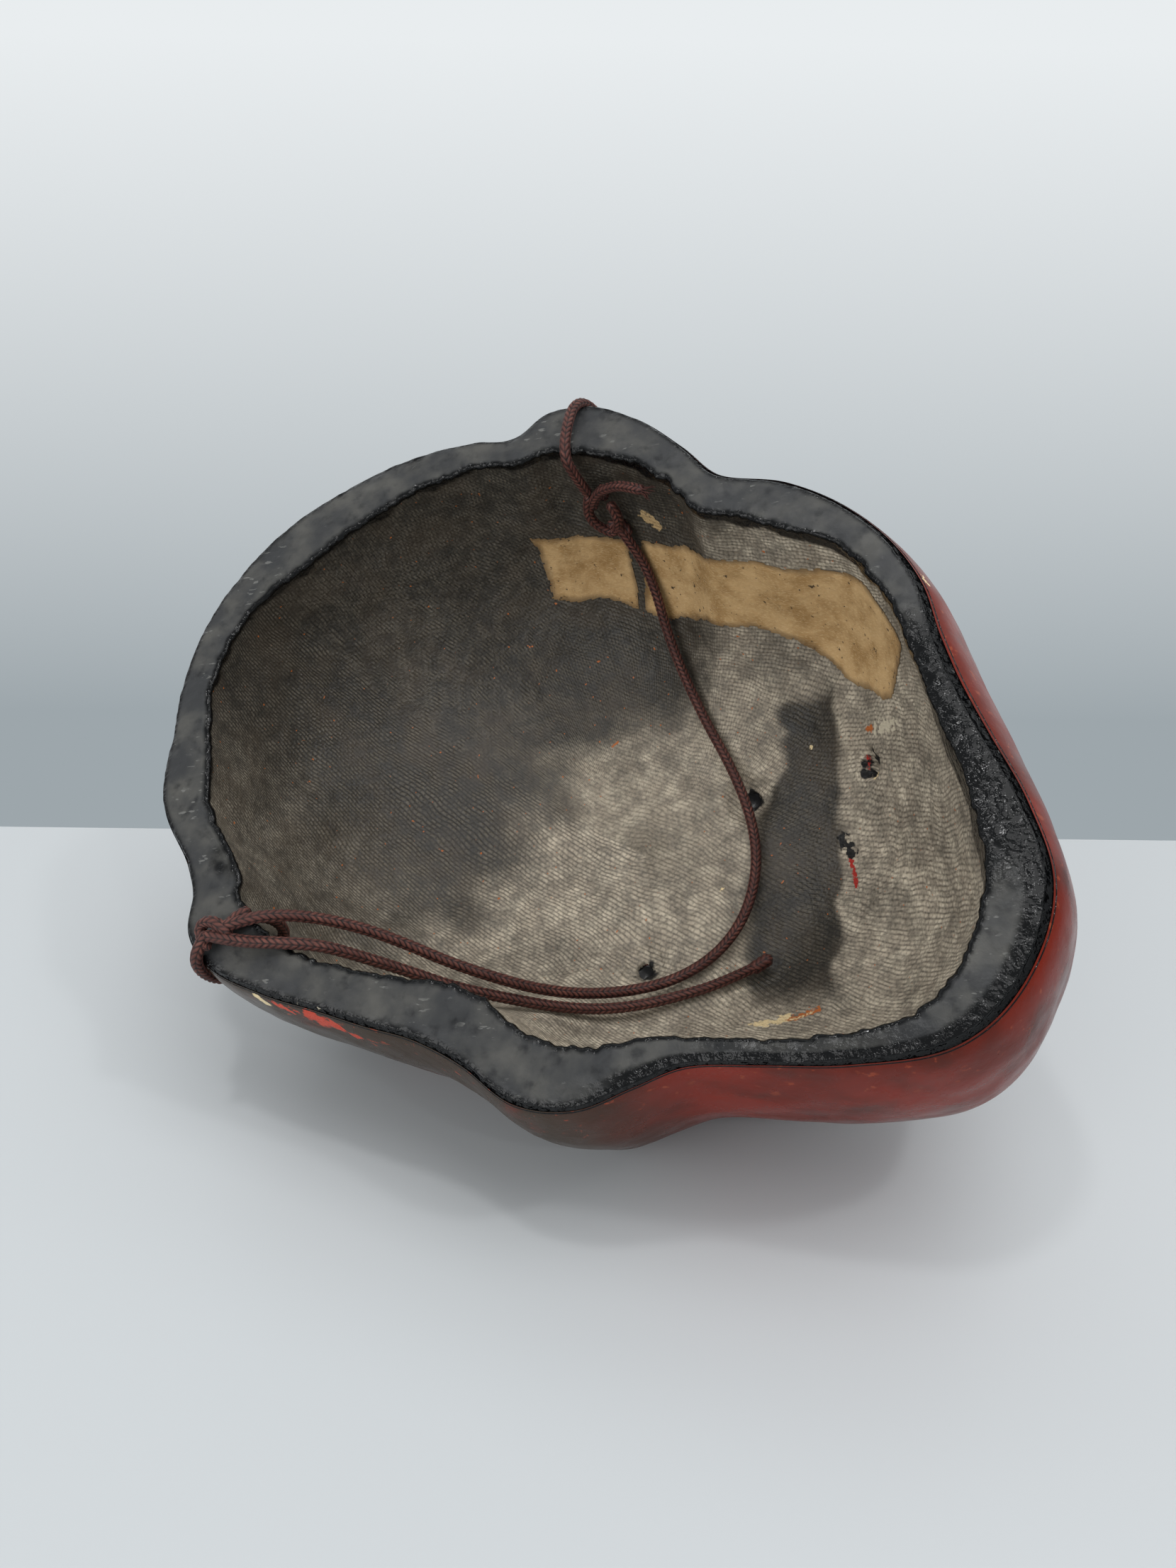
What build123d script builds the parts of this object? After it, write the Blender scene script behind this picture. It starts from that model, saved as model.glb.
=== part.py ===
from build123d import *
import math
import os

import numpy as np

# A carved wooden theatre mask seen as a bowl: lacquered outside, lined with hemp cloth inside,
# with a flat black rim and a braided tie cord.  It lies face down, tipped on to its cheek.
#
# The mask is drawn in its own frame and then laid down.  In that frame the flat back of the rim is
# the plane w = 0, u runs to the wearer's right, v runs from forehead to chin and w runs from the rim
# to the tip of the nose.  Angles go round the rim from the chin (0) past the right ear (+90).

# ---- driving dimensions, millimetres and degrees -------------------------------------------------

# Outer edge of the rim: (angle, distance from the middle).  It has forehead, notches above and below
# each ear, wide jaws and a narrow chin, carved by hand and so not quite the same on both sides.
RIM_OUTLINE = (
    (-175, 102.6), (-163, 100.9), (-153, 98.3), (-140, 97.3), (-128, 91.2), (-123, 91.6),
    (-119, 94.8), (-113, 94.6), (-102, 87.6), (-93, 82.2), (-84, 79.4), (-75, 78.2),
    (-66, 81.5), (-58, 88.8), (-50, 91.4), (-42, 89.9), (-35, 89.9), (-27, 96.5),
    (-19, 106.8), (-11, 117.5), (0, 120.5), (8, 117.1), (15, 108.9), (23, 99.4),
    (30, 94.0), (38, 91.4), (47, 91.9), (56, 90.8), (66, 87.9), (76, 83.7),
    (88, 77.4), (97, 82.6), (108, 90.5), (118, 94.9), (123, 93.6), (128, 88.2),
    (137, 91.0), (147, 95.0), (157, 97.8), (167, 100.8),
)
# Width of the black rim at each angle: broad at the ears, narrow at the corners of the chin.
RIM_WIDTH = (
    (-175, 11), (-160, 9.5), (-143, 13), (-130, 11), (-115, 15), (-100, 11.5), (-80, 12),
    (-57, 15), (-44, 10), (-33, 6), (-20, 6.5), (-6, 10), (8, 12), (22, 7.5), (34, 5.2),
    (50, 8), (60, 9), (68, 12.5), (80, 12.5), (94, 10), (108, 14), (118, 16), (130, 9),
    (145, 11.5), (160, 14.5), (172, 15.5),
)
# How far the side of the mask swells outwards past its rim.
SIDE_SWELL = (
    (-170, 2), (-140, 2), (-110, 4), (-85, 5), (-60, 7), (-38, 10), (-15, 14), (5, 10),
    (30, 13), (52, 13), (75, 7), (95, 8), (115, 4), (140, 2),
)
# Shape of the side from rim to front: a low number is a square shoulder, a high one a slope.
SIDE_SLOPE = (
    (-170, 0.72), (-145, 0.50), (-120, 0.45), (-90, 0.58), (-60, 0.62), (0, 0.58),
    (60, 0.62), (90, 0.58), (120, 0.45), (145, 0.50),
)
FACE_DEPTH = 80.0       # rim to the plain of the face, before brow, nose and lips are raised on it
CAVITY_DEPTH = 71.0     # rim to the deepest plain of the lining
CENTRE_DROP = 12.0      # how far the middle of the face lies below the middle of the rim
DEPTH_POWER = 0.9       # how quickly the side falls away from the rim
RELIEF_START = 0.35     # share of the depth at which the carving of the face is fully raised

EYE_SPREAD = 29.0       # eyes, from the middle line
EYE_LEVEL = 31.0
BROW_HEIGHT = 5.0
TEMPLE_HEIGHT = 14.0    # the square bosses of the forehead
NOSE_HEIGHT = 30.5
NOSE_LEVEL = 58.0
WING_HEIGHT = 8.5
NOSTRIL_SPREAD = 14.0
NOSTRIL_LEVEL = 64.0
MOUTH_LEVEL = 89.5
LIP_HEIGHT = 4.5
MOUTH_GROOVE = 3.0
CHIN_HEIGHT = 5.0

RIM_COAT = 1.2          # thickness of the lacquered cloth on the rim
LINING = 1.0            # thickness of the lacquered hemp inside
RIM_OVERHANG = 1.2      # how far the rim coat stands in past the lining
LINING_DROP = 2.4       # the lining stops this far below the back of the rim
PAPER = 0.3             # label paper

PLATE_RADIUS = 6.5      # gilt eye plates, domed, each with a pupil hole
PLATE_DOME = 9.0
PLATE_THICKNESS = 0.8
PLATE_SKIRT = 1.2
PLATE_PROUD = 2.4       # how far the middle of a plate stands out of the wood
PLATE_CLEARANCE = 0.1
PUPIL_RADIUS = 2.6
EYE_BORE_RADIUS = 2.8
EYE_BORE_LENGTH = 32.0

# Small piercings: (inside u, v; outside u, v; radius)
NOSTRIL = ((22.5, 64.5), (13.0, 69.0), 2.4)
MOUTH_CORNER = ((45.0, 60.0), (50.0, 68.0), 2.0)
PIERCING_STANDOFF = 12.0    # how far a drill stands out of both sides

CORD_DIAMETER = 3.0
CORD_HOLE_CLEARANCE = 0.7
CORD_HOLE_LEFT = -113.0     # angles of the cord holes
CORD_HOLE_RIGHT = 114.0
CORD_HOLE_DEPTH = 16.0      # below the back of the rim
KNOT_SIZE = (4.6, 4.2, 3.5)     # half sizes of a tied knot: along the wall, across and through
TIP_SIZE = (2.6, 2.3, 2.1)      # half sizes of the whipped tip of the cord

# Label outlines, seen square on to the lining: (towards the chin, away from the rim).
LABEL_ORIGIN = Vector(63.0, 16.5, 32.5)
LABEL_NORMAL = Vector(0.969, 0.063, 0.239)
LABEL_ALONG = Vector(-0.009, 0.975, -0.220)
LABEL_REACH = 30.0
SHORT_LABEL = ((-67.5, -16.0), (-43.0, -10.5), (-44.0, 12.5), (-67.5, 6.0))
LONG_LABEL = (
    (-39.0, -11.0), (-30.5, -11.0), (-4.0, -16.0), (12.5, -15.0), (35.0, -16.5), (41.0, -12.0),
    (50.0, -7.0), (44.0, 11.0), (40.5, 14.0), (27.5, 17.0), (18.5, 14.5), (11.5, 10.0),
    (-3.0, 7.5), (-17.5, 8.5), (-36.0, 14.5), (-42.5, 12.5),
)

# Cord routes in the mask's frame, chosen by hand.  Each end is the middle of a knot or of the tip.
LEFT_KNOT = (-81.5, -35.0, -3.9)
RIGHT_KNOT = (67.7, -30.5, 18.0)
CORD_RUN = (
    RIGHT_KNOT, (67.8, -25.5, 28.0), (65.6, -19.0, 40.0), (55.4, -10.0, 55.5), (42.2, 7.0, 61.5),
    (31.7, 23.5, 65.5), (21.2, 35.6, 67.5), (10.0, 43.2, 69.0), (-3.0, 46.6, 70.5),
    (-16.1, 46.0, 68.0), (-27.7, 41.3, 64.0), (-37.0, 34.1, 58.5), (-44.6, 26.7, 50.3),
    (-49.9, 20.4, 40.7), (-53.6, 13.5, 31.8), (-56.8, 4.5, 24.5), (-59.0, -4.4, 17.0),
    (-61.8, -12.5, 9.5), (-66.2, -20.2, 1.5), (-71.4, -26.0, -4.2), (-76.8, -30.8, -6.4), LEFT_KNOT,
)
CORD_TAIL = (
    LEFT_KNOT, (-79.4, -28.8, -3.0), (-75.0, -20.0, -2.8), (-70.2, -12.8, 1.2),
    (-67.2, -6.9, 9.0), (-63.9, 0.4, 18.2), (-60.8, 8.2, 27.6), (-56.3, 15.9, 36.4),
    (-51.4, 24.2, 44.9), (-45.4, 32.2, 52.6), (-37.8, 39.4, 59.0), (-30.4, 45.6, 62.2),
    (-22.4, 51.4, 66.0), (-12.5, 56.1, 71.0),
)
CORD_SHORT_END = (
    RIGHT_KNOT, (68.2, -27.2, 9.0), (69.0, -22.6, 5.4), (68.9, -17.4, 3.2), (68.5, -11.8, 1.4),
)
# The two loops go through the wall and back over the rim: (angle, distance from middle, depth).
LEFT_LOOP = (
    (-113.6, 88.6, -2.8), (-113.2, 77.4, -2.4), (-113.0, 77.2, 16.0), (-113.0, 98.0, 16.0),
    (-113.4, 98.0, -3.6), (-113.8, 88.7, -4.6),
)
RIGHT_LOOP = (
    (114.0, 75.5, 16.0), (114.0, 97.8, 16.0), (117.6, 97.6, -2.8), (119.0, 76.8, -2.5),
    (118.2, 75.6, 8.0), (114.4, 75.5, 18.0),
)
BEND_SHARE = 0.45       # share of a straight run that a bend may use
TIGHT_BEND = 3.5        # largest bend of the loops where they turn over the rim

# Straight up, in the mask's frame, when it lies on its cheek, nose and temple.
REST_UP = Vector(0.6324, -0.1590, -0.7582)
# The direction in the rim's plane that is turned to the right-hand side of the room.
REST_HEADING = Vector(0.539, 0.800, 0.264)

# Rings of the two lofted bowls, each by its share of the way from the middle out to the rim.
OUTER_STEP = 5          # degrees between the points of a ring
OUTER_SHARES = (
    1.0, 0.995, 0.98, 0.95, 0.91, 0.865, 0.82, 0.78, 0.745, 0.71, 0.675, 0.64, 0.605,
    0.57, 0.535, 0.5, 0.465, 0.43, 0.39, 0.345, 0.295, 0.24, 0.18, 0.12, 0.06,
)
CAVITY_STEP = 8
CAVITY_SHARES = (1.0, 0.98, 0.93, 0.85, 0.76, 0.67, 0.58, 0.49, 0.4, 0.31, 0.21, 0.11)
MEAN_SLOPE = 0.58       # typical SIDE_SLOPE, which turns a share into a turn
BACK_CLEAR = 6.0        # how far a cutting form stands out behind the rim


# ---- shape of the mask ---------------------------------------------------------------------------

def around(stations, angle):
    """Smooth closed curve through (angle, value) stations: cubic pieces with averaged slopes."""
    angles = np.array([a for a, _ in stations], float)
    values = np.array([v for _, v in stations], float)
    angles = np.concatenate((angles[-2:] - 360, angles, angles[:2] + 360))
    values = np.concatenate((values[-2:], values, values[:2]))
    slopes = np.gradient(values, angles)
    x = (np.asarray(angle, float) + 180) % 360 - 180
    x = np.where(x < stations[0][0], x + 360, x)
    i = np.searchsorted(angles, x, side="right") - 1
    step = angles[i + 1] - angles[i]
    t = (x - angles[i]) / step
    return (values[i] * (1 + 2 * t) * (1 - t) ** 2 + slopes[i] * step * t * (1 - t) ** 2
            + values[i + 1] * t * t * (3 - 2 * t) + slopes[i + 1] * step * t * t * (t - 1))


def mound(u, v, at_u, at_v, wide, tall):
    """A smooth hill of height 1."""
    return np.exp(-((u - at_u) / wide) ** 2 - ((v - at_v) / tall) ** 2)


def both(u, v, at_u, at_v, wide, tall):
    """The same hill on both sides of the middle line."""
    return mound(u, v, at_u, at_v, wide, tall) + mound(u, v, -at_u, at_v, wide, tall)


def carving(u, v):
    """Height of the face above its plain: brow, eyes, nose, lips and chin."""
    a = np.abs(u)
    height = BROW_HEIGHT * np.exp(-((v - EYE_LEVEL + 20 + 0.12 * a) / 8) ** 2 - ((a - 32) / 24) ** 4)
    height = height + TEMPLE_HEIGHT * both(u, v, 52, -42, 22, 22)
    height = height - 5.5 * both(u, v, EYE_SPREAD, EYE_LEVEL - 1, 14, 9)
    height = height + 6.5 * both(u, v, EYE_SPREAD, EYE_LEVEL, 9.5, 7)
    along = np.clip((v - NOSE_LEVEL + 38) / 38, 0, 1)
    root = np.clip((v - NOSE_LEVEL + 52) / 16, 0, 1)
    tip = 1 / (1 + np.exp((v - NOSE_LEVEL - 10) / 3.6))
    ridge = np.exp(-(a / (9 + 6 * along)) ** 2.4)
    height = height + (0.25 + 0.75 * along) * NOSE_HEIGHT * ridge * root * tip
    height = height + WING_HEIGHT * both(u, v, NOSTRIL_SPREAD, NOSTRIL_LEVEL, 8.5, 8)
    height = height + 1.5 * both(u, v, 46, 56, 16, 16)
    upper = MOUTH_LEVEL - 7 + 0.0025 * a * a
    lower = MOUTH_LEVEL + 7 + 0.001 * a * a
    line = MOUTH_LEVEL + 0.002 * a * a
    height = height + LIP_HEIGHT * np.exp(-((v - upper) / 6.5) ** 2 - (a / 34) ** 4)
    height = height + LIP_HEIGHT * np.exp(-((v - lower) / 6.5) ** 2 - (a / 28) ** 4)
    height = height - MOUTH_GROOVE * np.exp(-((v - line) / 4.5) ** 2 - (a / 34) ** 4)
    return height + CHIN_HEIGHT * mound(u, v, 0, 112, 22, 9)


def hollowing(u, v):
    """Depth of the cavity below its plain: behind the nose, the nostrils and the temples."""
    depth = 7 * mound(u, v, 0, 58, 17, 13) + 3 * both(u, v, 26, 66, 16, 12)
    depth = depth + 5 * both(u, v, 46, -40, 24, 24)
    return depth + 2.5 * both(u, v, EYE_SPREAD - 1, EYE_LEVEL - 1, 8, 8)


def outer_point(turn, angle):
    """Point of the outside: turn goes from 0 at the rim to 90 degrees at the middle of the face."""
    c, s = np.cos(np.radians(turn)), np.sin(np.radians(turn))
    swell = around(SIDE_SWELL, angle) * np.sin(np.radians(2 * turn)) * c
    reach = around(RIM_OUTLINE, angle) * c ** around(SIDE_SLOPE, angle) + swell
    u = reach * np.sin(np.radians(angle))
    v = reach * np.cos(np.radians(angle)) + CENTRE_DROP * s ** 3
    rise = np.clip(s / RELIEF_START, 0, 1)
    return u, v, FACE_DEPTH * s ** DEPTH_POWER + rise * rise * (3 - 2 * rise) * carving(u, v)


def cavity_point(turn, angle, grow):
    """Point of the hollow inside, made larger all over by grow."""
    c, s = np.cos(np.radians(turn)), np.sin(np.radians(turn))
    edge = around(RIM_OUTLINE, angle) - around(RIM_WIDTH, angle) + grow
    reach = edge * c ** (around(SIDE_SLOPE, angle) + 0.06)
    u = reach * np.sin(np.radians(angle))
    v = reach * np.cos(np.radians(angle)) + CENTRE_DROP * s ** 3
    depth = (CAVITY_DEPTH + grow) * s ** DEPTH_POWER + np.clip(s / 0.5, 0, 1) * hollowing(u, v)
    return u, v, depth


def ring(u, v, w):
    """Closed smooth wire through one ring of points, with the same parameters on every ring."""
    points = [Vector(float(a), float(b), float(c)) for a, b, c in zip(u, v, w + 0 * u)]
    parameters = [i / len(points) for i in range(len(points) + 1)]
    return Wire([Edge.make_spline(points, periodic=True, parameters=parameters)])


def bowl(point, shares, step):
    """Solid bowl: rings lofted to a point at the middle, with a straight collar behind the rim."""
    angles = np.arange(-180, 180, step)
    turns = [math.degrees(math.acos(share ** (1 / MEAN_SLOPE))) for share in shares]
    u, v, _ = point(0.0, angles)
    rings = [ring(u, v, -BACK_CLEAR)]
    rings += [ring(*point(turn, angles)) for turn in turns]
    top = [float(x) for x in point(90.0, 0.0)]
    return Solid.make_loft(rings + [Vertex(*top)], ruled=True)


def cavity(grow):
    """Solid form of the hollow inside, made larger all over by grow."""
    return bowl(lambda turn, angle: cavity_point(turn, angle, grow), CAVITY_SHARES, CAVITY_STEP)


def slab(top, bottom):
    """Everything between two depths."""
    return Pos(0, 0, (top + bottom) / 2) * Box(4 * FACE_DEPTH, 4 * FACE_DEPTH, bottom - top)


def depth_over(point, u, v):
    """Depth of a surface at the place (u, v), found by halving the turn."""
    low, high = 0.0, 90.0
    for _ in range(40):
        turn = (low + high) / 2
        drop = CENTRE_DROP * math.sin(math.radians(turn)) ** 3
        angle = math.degrees(math.atan2(u, v - drop))
        pu, pv, pw = point(turn, angle)
        if math.hypot(pu, pv - drop) > math.hypot(u, v - drop):
            low = turn
        else:
            high = turn
    return float(pw)


def skin_plane(u, v):
    """Plane touching the outside at (u, v), facing outwards."""
    w = depth_over(outer_point, u, v)
    reach = PLATE_RADIUS
    tilt_u = depth_over(outer_point, u + reach, v) - depth_over(outer_point, u - reach, v)
    tilt_v = depth_over(outer_point, u, v + reach) - depth_over(outer_point, u, v - reach)
    normal = Vector(-tilt_u, -tilt_v, 2 * reach)
    return Plane(origin=(u, v, w), z_dir=normal)


def at(angle, reach, depth):
    """Point given by its angle round the mask, its distance from the middle and its depth."""
    return Vector(reach * math.sin(math.radians(angle)), reach * math.cos(math.radians(angle)), depth)


# ---- openings through the wall -------------------------------------------------------------------

def drill(start, end, radius):
    """Round cutter along a line, standing out of both ends."""
    line = end - start
    plane = Plane(origin=start - line.normalized() * PIERCING_STANDOFF, z_dir=line)
    return Solid.make_cylinder(radius, line.length + 2 * PIERCING_STANDOFF, plane)


def piercing(side, hole):
    """Cutter for a small hole from the lining to the face, on one side of the face."""
    (in_u, in_v), (out_u, out_v), radius = hole
    start = Vector(side * in_u, in_v, depth_over(lining_point, side * in_u, in_v))
    end = Vector(side * out_u, out_v, depth_over(outer_point, side * out_u, out_v))
    return drill(start, end, radius)


def lining_point(turn, angle):
    """Point of the inner face of the lining."""
    return cavity_point(turn, angle, RIM_OVERHANG)


def cord_hole(angle):
    """Cutter for the hole that a cord loop goes through."""
    radius = CORD_DIAMETER / 2 + CORD_HOLE_CLEARANCE
    edge = float(around(RIM_OUTLINE, angle))
    start = at(angle, edge - float(around(RIM_WIDTH, angle)), CORD_HOLE_DEPTH)
    return drill(start, at(angle, edge, CORD_HOLE_DEPTH), radius)


def eye_axis(side):
    """Plane on top of an eye plate, facing outwards along the plate's own axis."""
    seat = skin_plane(side * EYE_SPREAD, EYE_LEVEL)
    return seat.offset(PLATE_PROUD)


PLATE_SAG = PLATE_DOME - math.sqrt(PLATE_DOME ** 2 - PLATE_RADIUS ** 2)
PLATE_HEIGHT = PLATE_SAG + PLATE_SKIRT


def eye_cut(side):
    """Flat-bottomed seat for the plate and the bore behind it."""
    top = eye_axis(side)
    bottom = top.offset(-PLATE_HEIGHT)
    seat = Solid.make_cylinder(PLATE_RADIUS + PLATE_CLEARANCE, 3 * PLATE_HEIGHT, bottom)
    bore = Solid.make_cylinder(EYE_BORE_RADIUS, EYE_BORE_LENGTH, top.offset(-EYE_BORE_LENGTH))
    return seat + bore


def eye_plate(side):
    """Domed plate with a pupil hole and a short skirt, turned about its axis."""
    inner_dome = PLATE_DOME - PLATE_THICKNESS
    inner_radius = PLATE_RADIUS - PLATE_THICKNESS

    def sink(radius, dome, top):
        return -top - (dome - math.sqrt(dome ** 2 - radius ** 2))

    pupil_top = (PUPIL_RADIUS, 0, sink(PUPIL_RADIUS, PLATE_DOME, 0))
    pupil_low = (PUPIL_RADIUS, 0, sink(PUPIL_RADIUS, inner_dome, PLATE_THICKNESS))
    rim_top = (PLATE_RADIUS, 0, sink(PLATE_RADIUS, PLATE_DOME, 0))
    rim_low = (inner_radius, 0, sink(inner_radius, inner_dome, PLATE_THICKNESS))
    middle = (PUPIL_RADIUS + PLATE_RADIUS) / 2
    over = (middle, 0, sink(middle, PLATE_DOME, 0))
    under = (middle, 0, sink(middle, inner_dome, PLATE_THICKNESS))
    edges = [
        ThreePointArc(pupil_top, over, rim_top),
        Line(rim_top, (PLATE_RADIUS, 0, -PLATE_HEIGHT)),
        Line((PLATE_RADIUS, 0, -PLATE_HEIGHT), (inner_radius, 0, -PLATE_HEIGHT)),
        Line((inner_radius, 0, -PLATE_HEIGHT), rim_low),
        ThreePointArc(rim_low, under, pupil_low),
        Line(pupil_low, pupil_top),
    ]
    profile = Face(Wire([edge for curve in edges for edge in curve.edges()]))
    return eye_axis(side).location * revolve(profile, Axis.Z)


# ---- soft pieces ---------------------------------------------------------------------------------

def label(outline):
    """Piece of paper pasted on the lining, following its curve."""
    face_on = Plane(origin=LABEL_ORIGIN, x_dir=LABEL_ALONG, z_dir=LABEL_NORMAL)
    outline_face = face_on * make_face(Polyline(*outline, close=True))
    prism = extrude(outline_face, amount=LABEL_REACH, both=True)
    return (PAPER_SHEET & prism).solids()[0]


def knot(centre, size, angle):
    """Rounded lump of a tied knot, turned to face out along the given angle of the rim."""
    turned = Plane(origin=centre, x_dir=at(angle + 90, 1, 0), z_dir=(0, 0, 1))
    return turned.location * scale(Sphere(1), by=size)


def bend_radii(points):
    """Radius of each bend of a cord: as large as its two straight runs allow."""
    radii = []
    for before, corner, after in zip(points, points[1:], points[2:]):
        turn = math.radians((corner - before).get_angle(after - corner))
        shorter = min((corner - before).length, (after - corner).length)
        radii.append(BEND_SHARE * shorter / math.tan(turn / 2))
    return radii


def cord(name, points, ends, limit=None):
    """Round tube of straight runs and tangent bends, trimmed flush with what it is tied to."""
    points = [Vector(*point) if isinstance(point, tuple) else point for point in points]
    radii = bend_radii(points)
    if limit is not None:
        radii = [min(radius, limit) for radius in radii]
    path = FilletPolyline(*points, radius=radii)
    section = Plane(origin=path @ 0, z_dir=path % 0) * Circle(CORD_DIAMETER / 2)
    tube = sweep(section, path=path)
    print(name, "length", round(path.length, 1), "volume", round(tube.volume, 1),
          "section x length", round(math.pi * CORD_DIAMETER ** 2 / 4 * path.length, 1),
          "radii", [round(radius, 1) for radius in radii])
    for end in ends:
        tube = tube - end
    return tube.solids().sort_by(SortBy.VOLUME)[-1]


# ---- the pieces ----------------------------------------------------------------------------------

LINING_FACE = cavity(RIM_OVERHANG)
LINING_BACK = cavity(RIM_OVERHANG + LINING)
PAPER_SHEET = LINING_FACE - cavity(RIM_OVERHANG - PAPER)
OUTSIDE = bowl(outer_point, OUTER_SHARES, OUTER_STEP)

openings = [eye_cut(side) for side in (-1, 1)]
openings += [piercing(side, hole) for side in (-1, 1) for hole in (NOSTRIL, MOUTH_CORNER)]
openings += [cord_hole(angle) for angle in (CORD_HOLE_LEFT, CORD_HOLE_RIGHT)]

nodes = {}
nodes["carved_shell"] = (OUTSIDE & slab(RIM_COAT, 3 * FACE_DEPTH)) - LINING_BACK - openings
nodes["rim_lacquer"] = (OUTSIDE & slab(0, RIM_COAT)) - cavity(0)
nodes["hemp_lining"] = (LINING_BACK & slab(LINING_DROP, 3 * FACE_DEPTH)) - LINING_FACE - openings
for side, name in ((-1, "left"), (1, "right")):
    nodes["eye_plate_" + name] = eye_plate(side)
nodes["paper_label_short"] = label(SHORT_LABEL)
nodes["paper_label_long"] = label(LONG_LABEL)

left_knot = knot(LEFT_KNOT, KNOT_SIZE, CORD_HOLE_LEFT)
right_knot = knot(RIGHT_KNOT, (KNOT_SIZE[1], KNOT_SIZE[2], KNOT_SIZE[0]), CORD_HOLE_RIGHT)
tip = knot(CORD_TAIL[-1], TIP_SIZE, 0)
nodes["cord_knot_left"] = left_knot
nodes["cord_knot_right"] = right_knot
nodes["cord_tip"] = tip
nodes["cord_run"] = cord("cord_run", CORD_RUN, [left_knot, right_knot])
nodes["cord_tail"] = cord("cord_tail", CORD_TAIL, [left_knot, tip])
nodes["cord_short_end"] = cord("cord_short_end", CORD_SHORT_END, [right_knot])
nodes["cord_loop_left"] = cord("cord_loop_left", [at(*p) for p in LEFT_LOOP], [left_knot], TIGHT_BEND)
nodes["cord_loop_right"] = cord("cord_loop_right", [at(*p) for p in RIGHT_LOOP], [right_knot], TIGHT_BEND)

# ---- laying it down ------------------------------------------------------------------------------

up = REST_UP.normalized()
across = (REST_HEADING - up * REST_HEADING.dot(up)).normalized()
away = up.cross(across)
turned = Plane(origin=(0, 0, 0), x_dir=(across.X, away.X, up.X), z_dir=(across.Z, away.Z, up.Z)).location
solid_names = [name for name in nodes if not name.startswith("cord_")]
box = Compound([turned * nodes[name] for name in solid_names]).bounding_box()
laid = Pos(-box.center().X, -box.center().Y, -box.min.Z) * turned
print("place", [round(x, 3) for x in (-box.center().X, -box.center().Y, -box.min.Z)])

os.makedirs("parts", exist_ok=True)
for name, shape in nodes.items():
    piece = laid * shape
    piece.label = name
    export_step(piece, "parts/" + name + ".step")
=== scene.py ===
import logging
import math
from collections.abc import Mapping, Sequence
from dataclasses import dataclass, field, replace
from enum import Enum
from typing import Any

import bpy
import numpy as np
from mathutils import Matrix, Vector
from mathutils.bvhtree import BVHTree


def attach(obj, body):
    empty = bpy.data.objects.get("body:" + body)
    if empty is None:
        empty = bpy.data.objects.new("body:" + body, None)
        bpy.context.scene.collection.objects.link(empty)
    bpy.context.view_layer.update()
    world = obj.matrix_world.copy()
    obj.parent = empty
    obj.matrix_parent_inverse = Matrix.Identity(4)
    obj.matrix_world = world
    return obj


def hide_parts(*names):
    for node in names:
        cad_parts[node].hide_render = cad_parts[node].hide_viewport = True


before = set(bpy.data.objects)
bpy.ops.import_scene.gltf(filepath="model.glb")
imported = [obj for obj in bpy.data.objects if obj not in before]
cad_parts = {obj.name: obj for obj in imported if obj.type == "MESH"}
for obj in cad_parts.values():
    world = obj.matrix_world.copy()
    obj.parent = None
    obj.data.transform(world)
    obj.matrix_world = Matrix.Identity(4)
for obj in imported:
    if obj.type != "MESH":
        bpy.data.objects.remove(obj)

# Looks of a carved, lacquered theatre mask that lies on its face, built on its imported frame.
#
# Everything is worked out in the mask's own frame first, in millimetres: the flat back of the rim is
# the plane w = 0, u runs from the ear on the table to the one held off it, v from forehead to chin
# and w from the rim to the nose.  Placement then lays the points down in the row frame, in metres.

LOG = logging.getLogger("mask")
MILLIMETRE = 0.001
Station = tuple[float, float]
Point = tuple[float, float, float]
Colour = bpy.types.NodeSocket | str
Share = bpy.types.NodeSocket | float

# ---- the carved form, as in the part's source -----------------------------------------------------

# Stations round the rim are an angle in degrees, 0 at the chin and 90 at the ear held off the table,
# and a value.  First the rim's distance from the middle, in millimetres.
RIM_OUTLINE = (
    (-175, 102.6), (-163, 100.9), (-153, 98.3), (-140, 97.3), (-128, 91.2), (-123, 91.6),
    (-119, 94.8), (-113, 94.6), (-102, 87.6), (-93, 82.2), (-84, 79.4), (-75, 78.2),
    (-66, 81.5), (-58, 88.8), (-50, 91.4), (-42, 89.9), (-35, 89.9), (-27, 96.5),
    (-19, 106.8), (-11, 117.5), (0, 120.5), (8, 117.1), (15, 108.9), (23, 99.4),
    (30, 94.0), (38, 91.4), (47, 91.9), (56, 90.8), (66, 87.9), (76, 83.7),
    (88, 77.4), (97, 82.6), (108, 90.5), (118, 94.9), (123, 93.6), (128, 88.2),
    (137, 91.0), (147, 95.0), (157, 97.8), (167, 100.8),
)
# How wide the flat back of the rim is.
RIM_WIDTH = (
    (-175, 11), (-160, 9.5), (-143, 13), (-130, 11), (-115, 15), (-100, 11.5), (-80, 12),
    (-57, 15), (-44, 10), (-33, 6), (-20, 6.5), (-6, 10), (8, 12), (22, 7.5), (34, 5.2),
    (50, 8), (60, 9), (68, 12.5), (80, 12.5), (94, 10), (108, 14), (118, 16), (130, 9),
    (145, 11.5), (160, 14.5), (172, 15.5),
)
# How far the sides swell out halfway down.
SIDE_SWELL = (
    (-170, 2), (-140, 2), (-110, 4), (-85, 5), (-60, 7), (-38, 10), (-15, 14), (5, 10),
    (30, 13), (52, 13), (75, 7), (95, 8), (115, 4), (140, 2),
)
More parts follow.
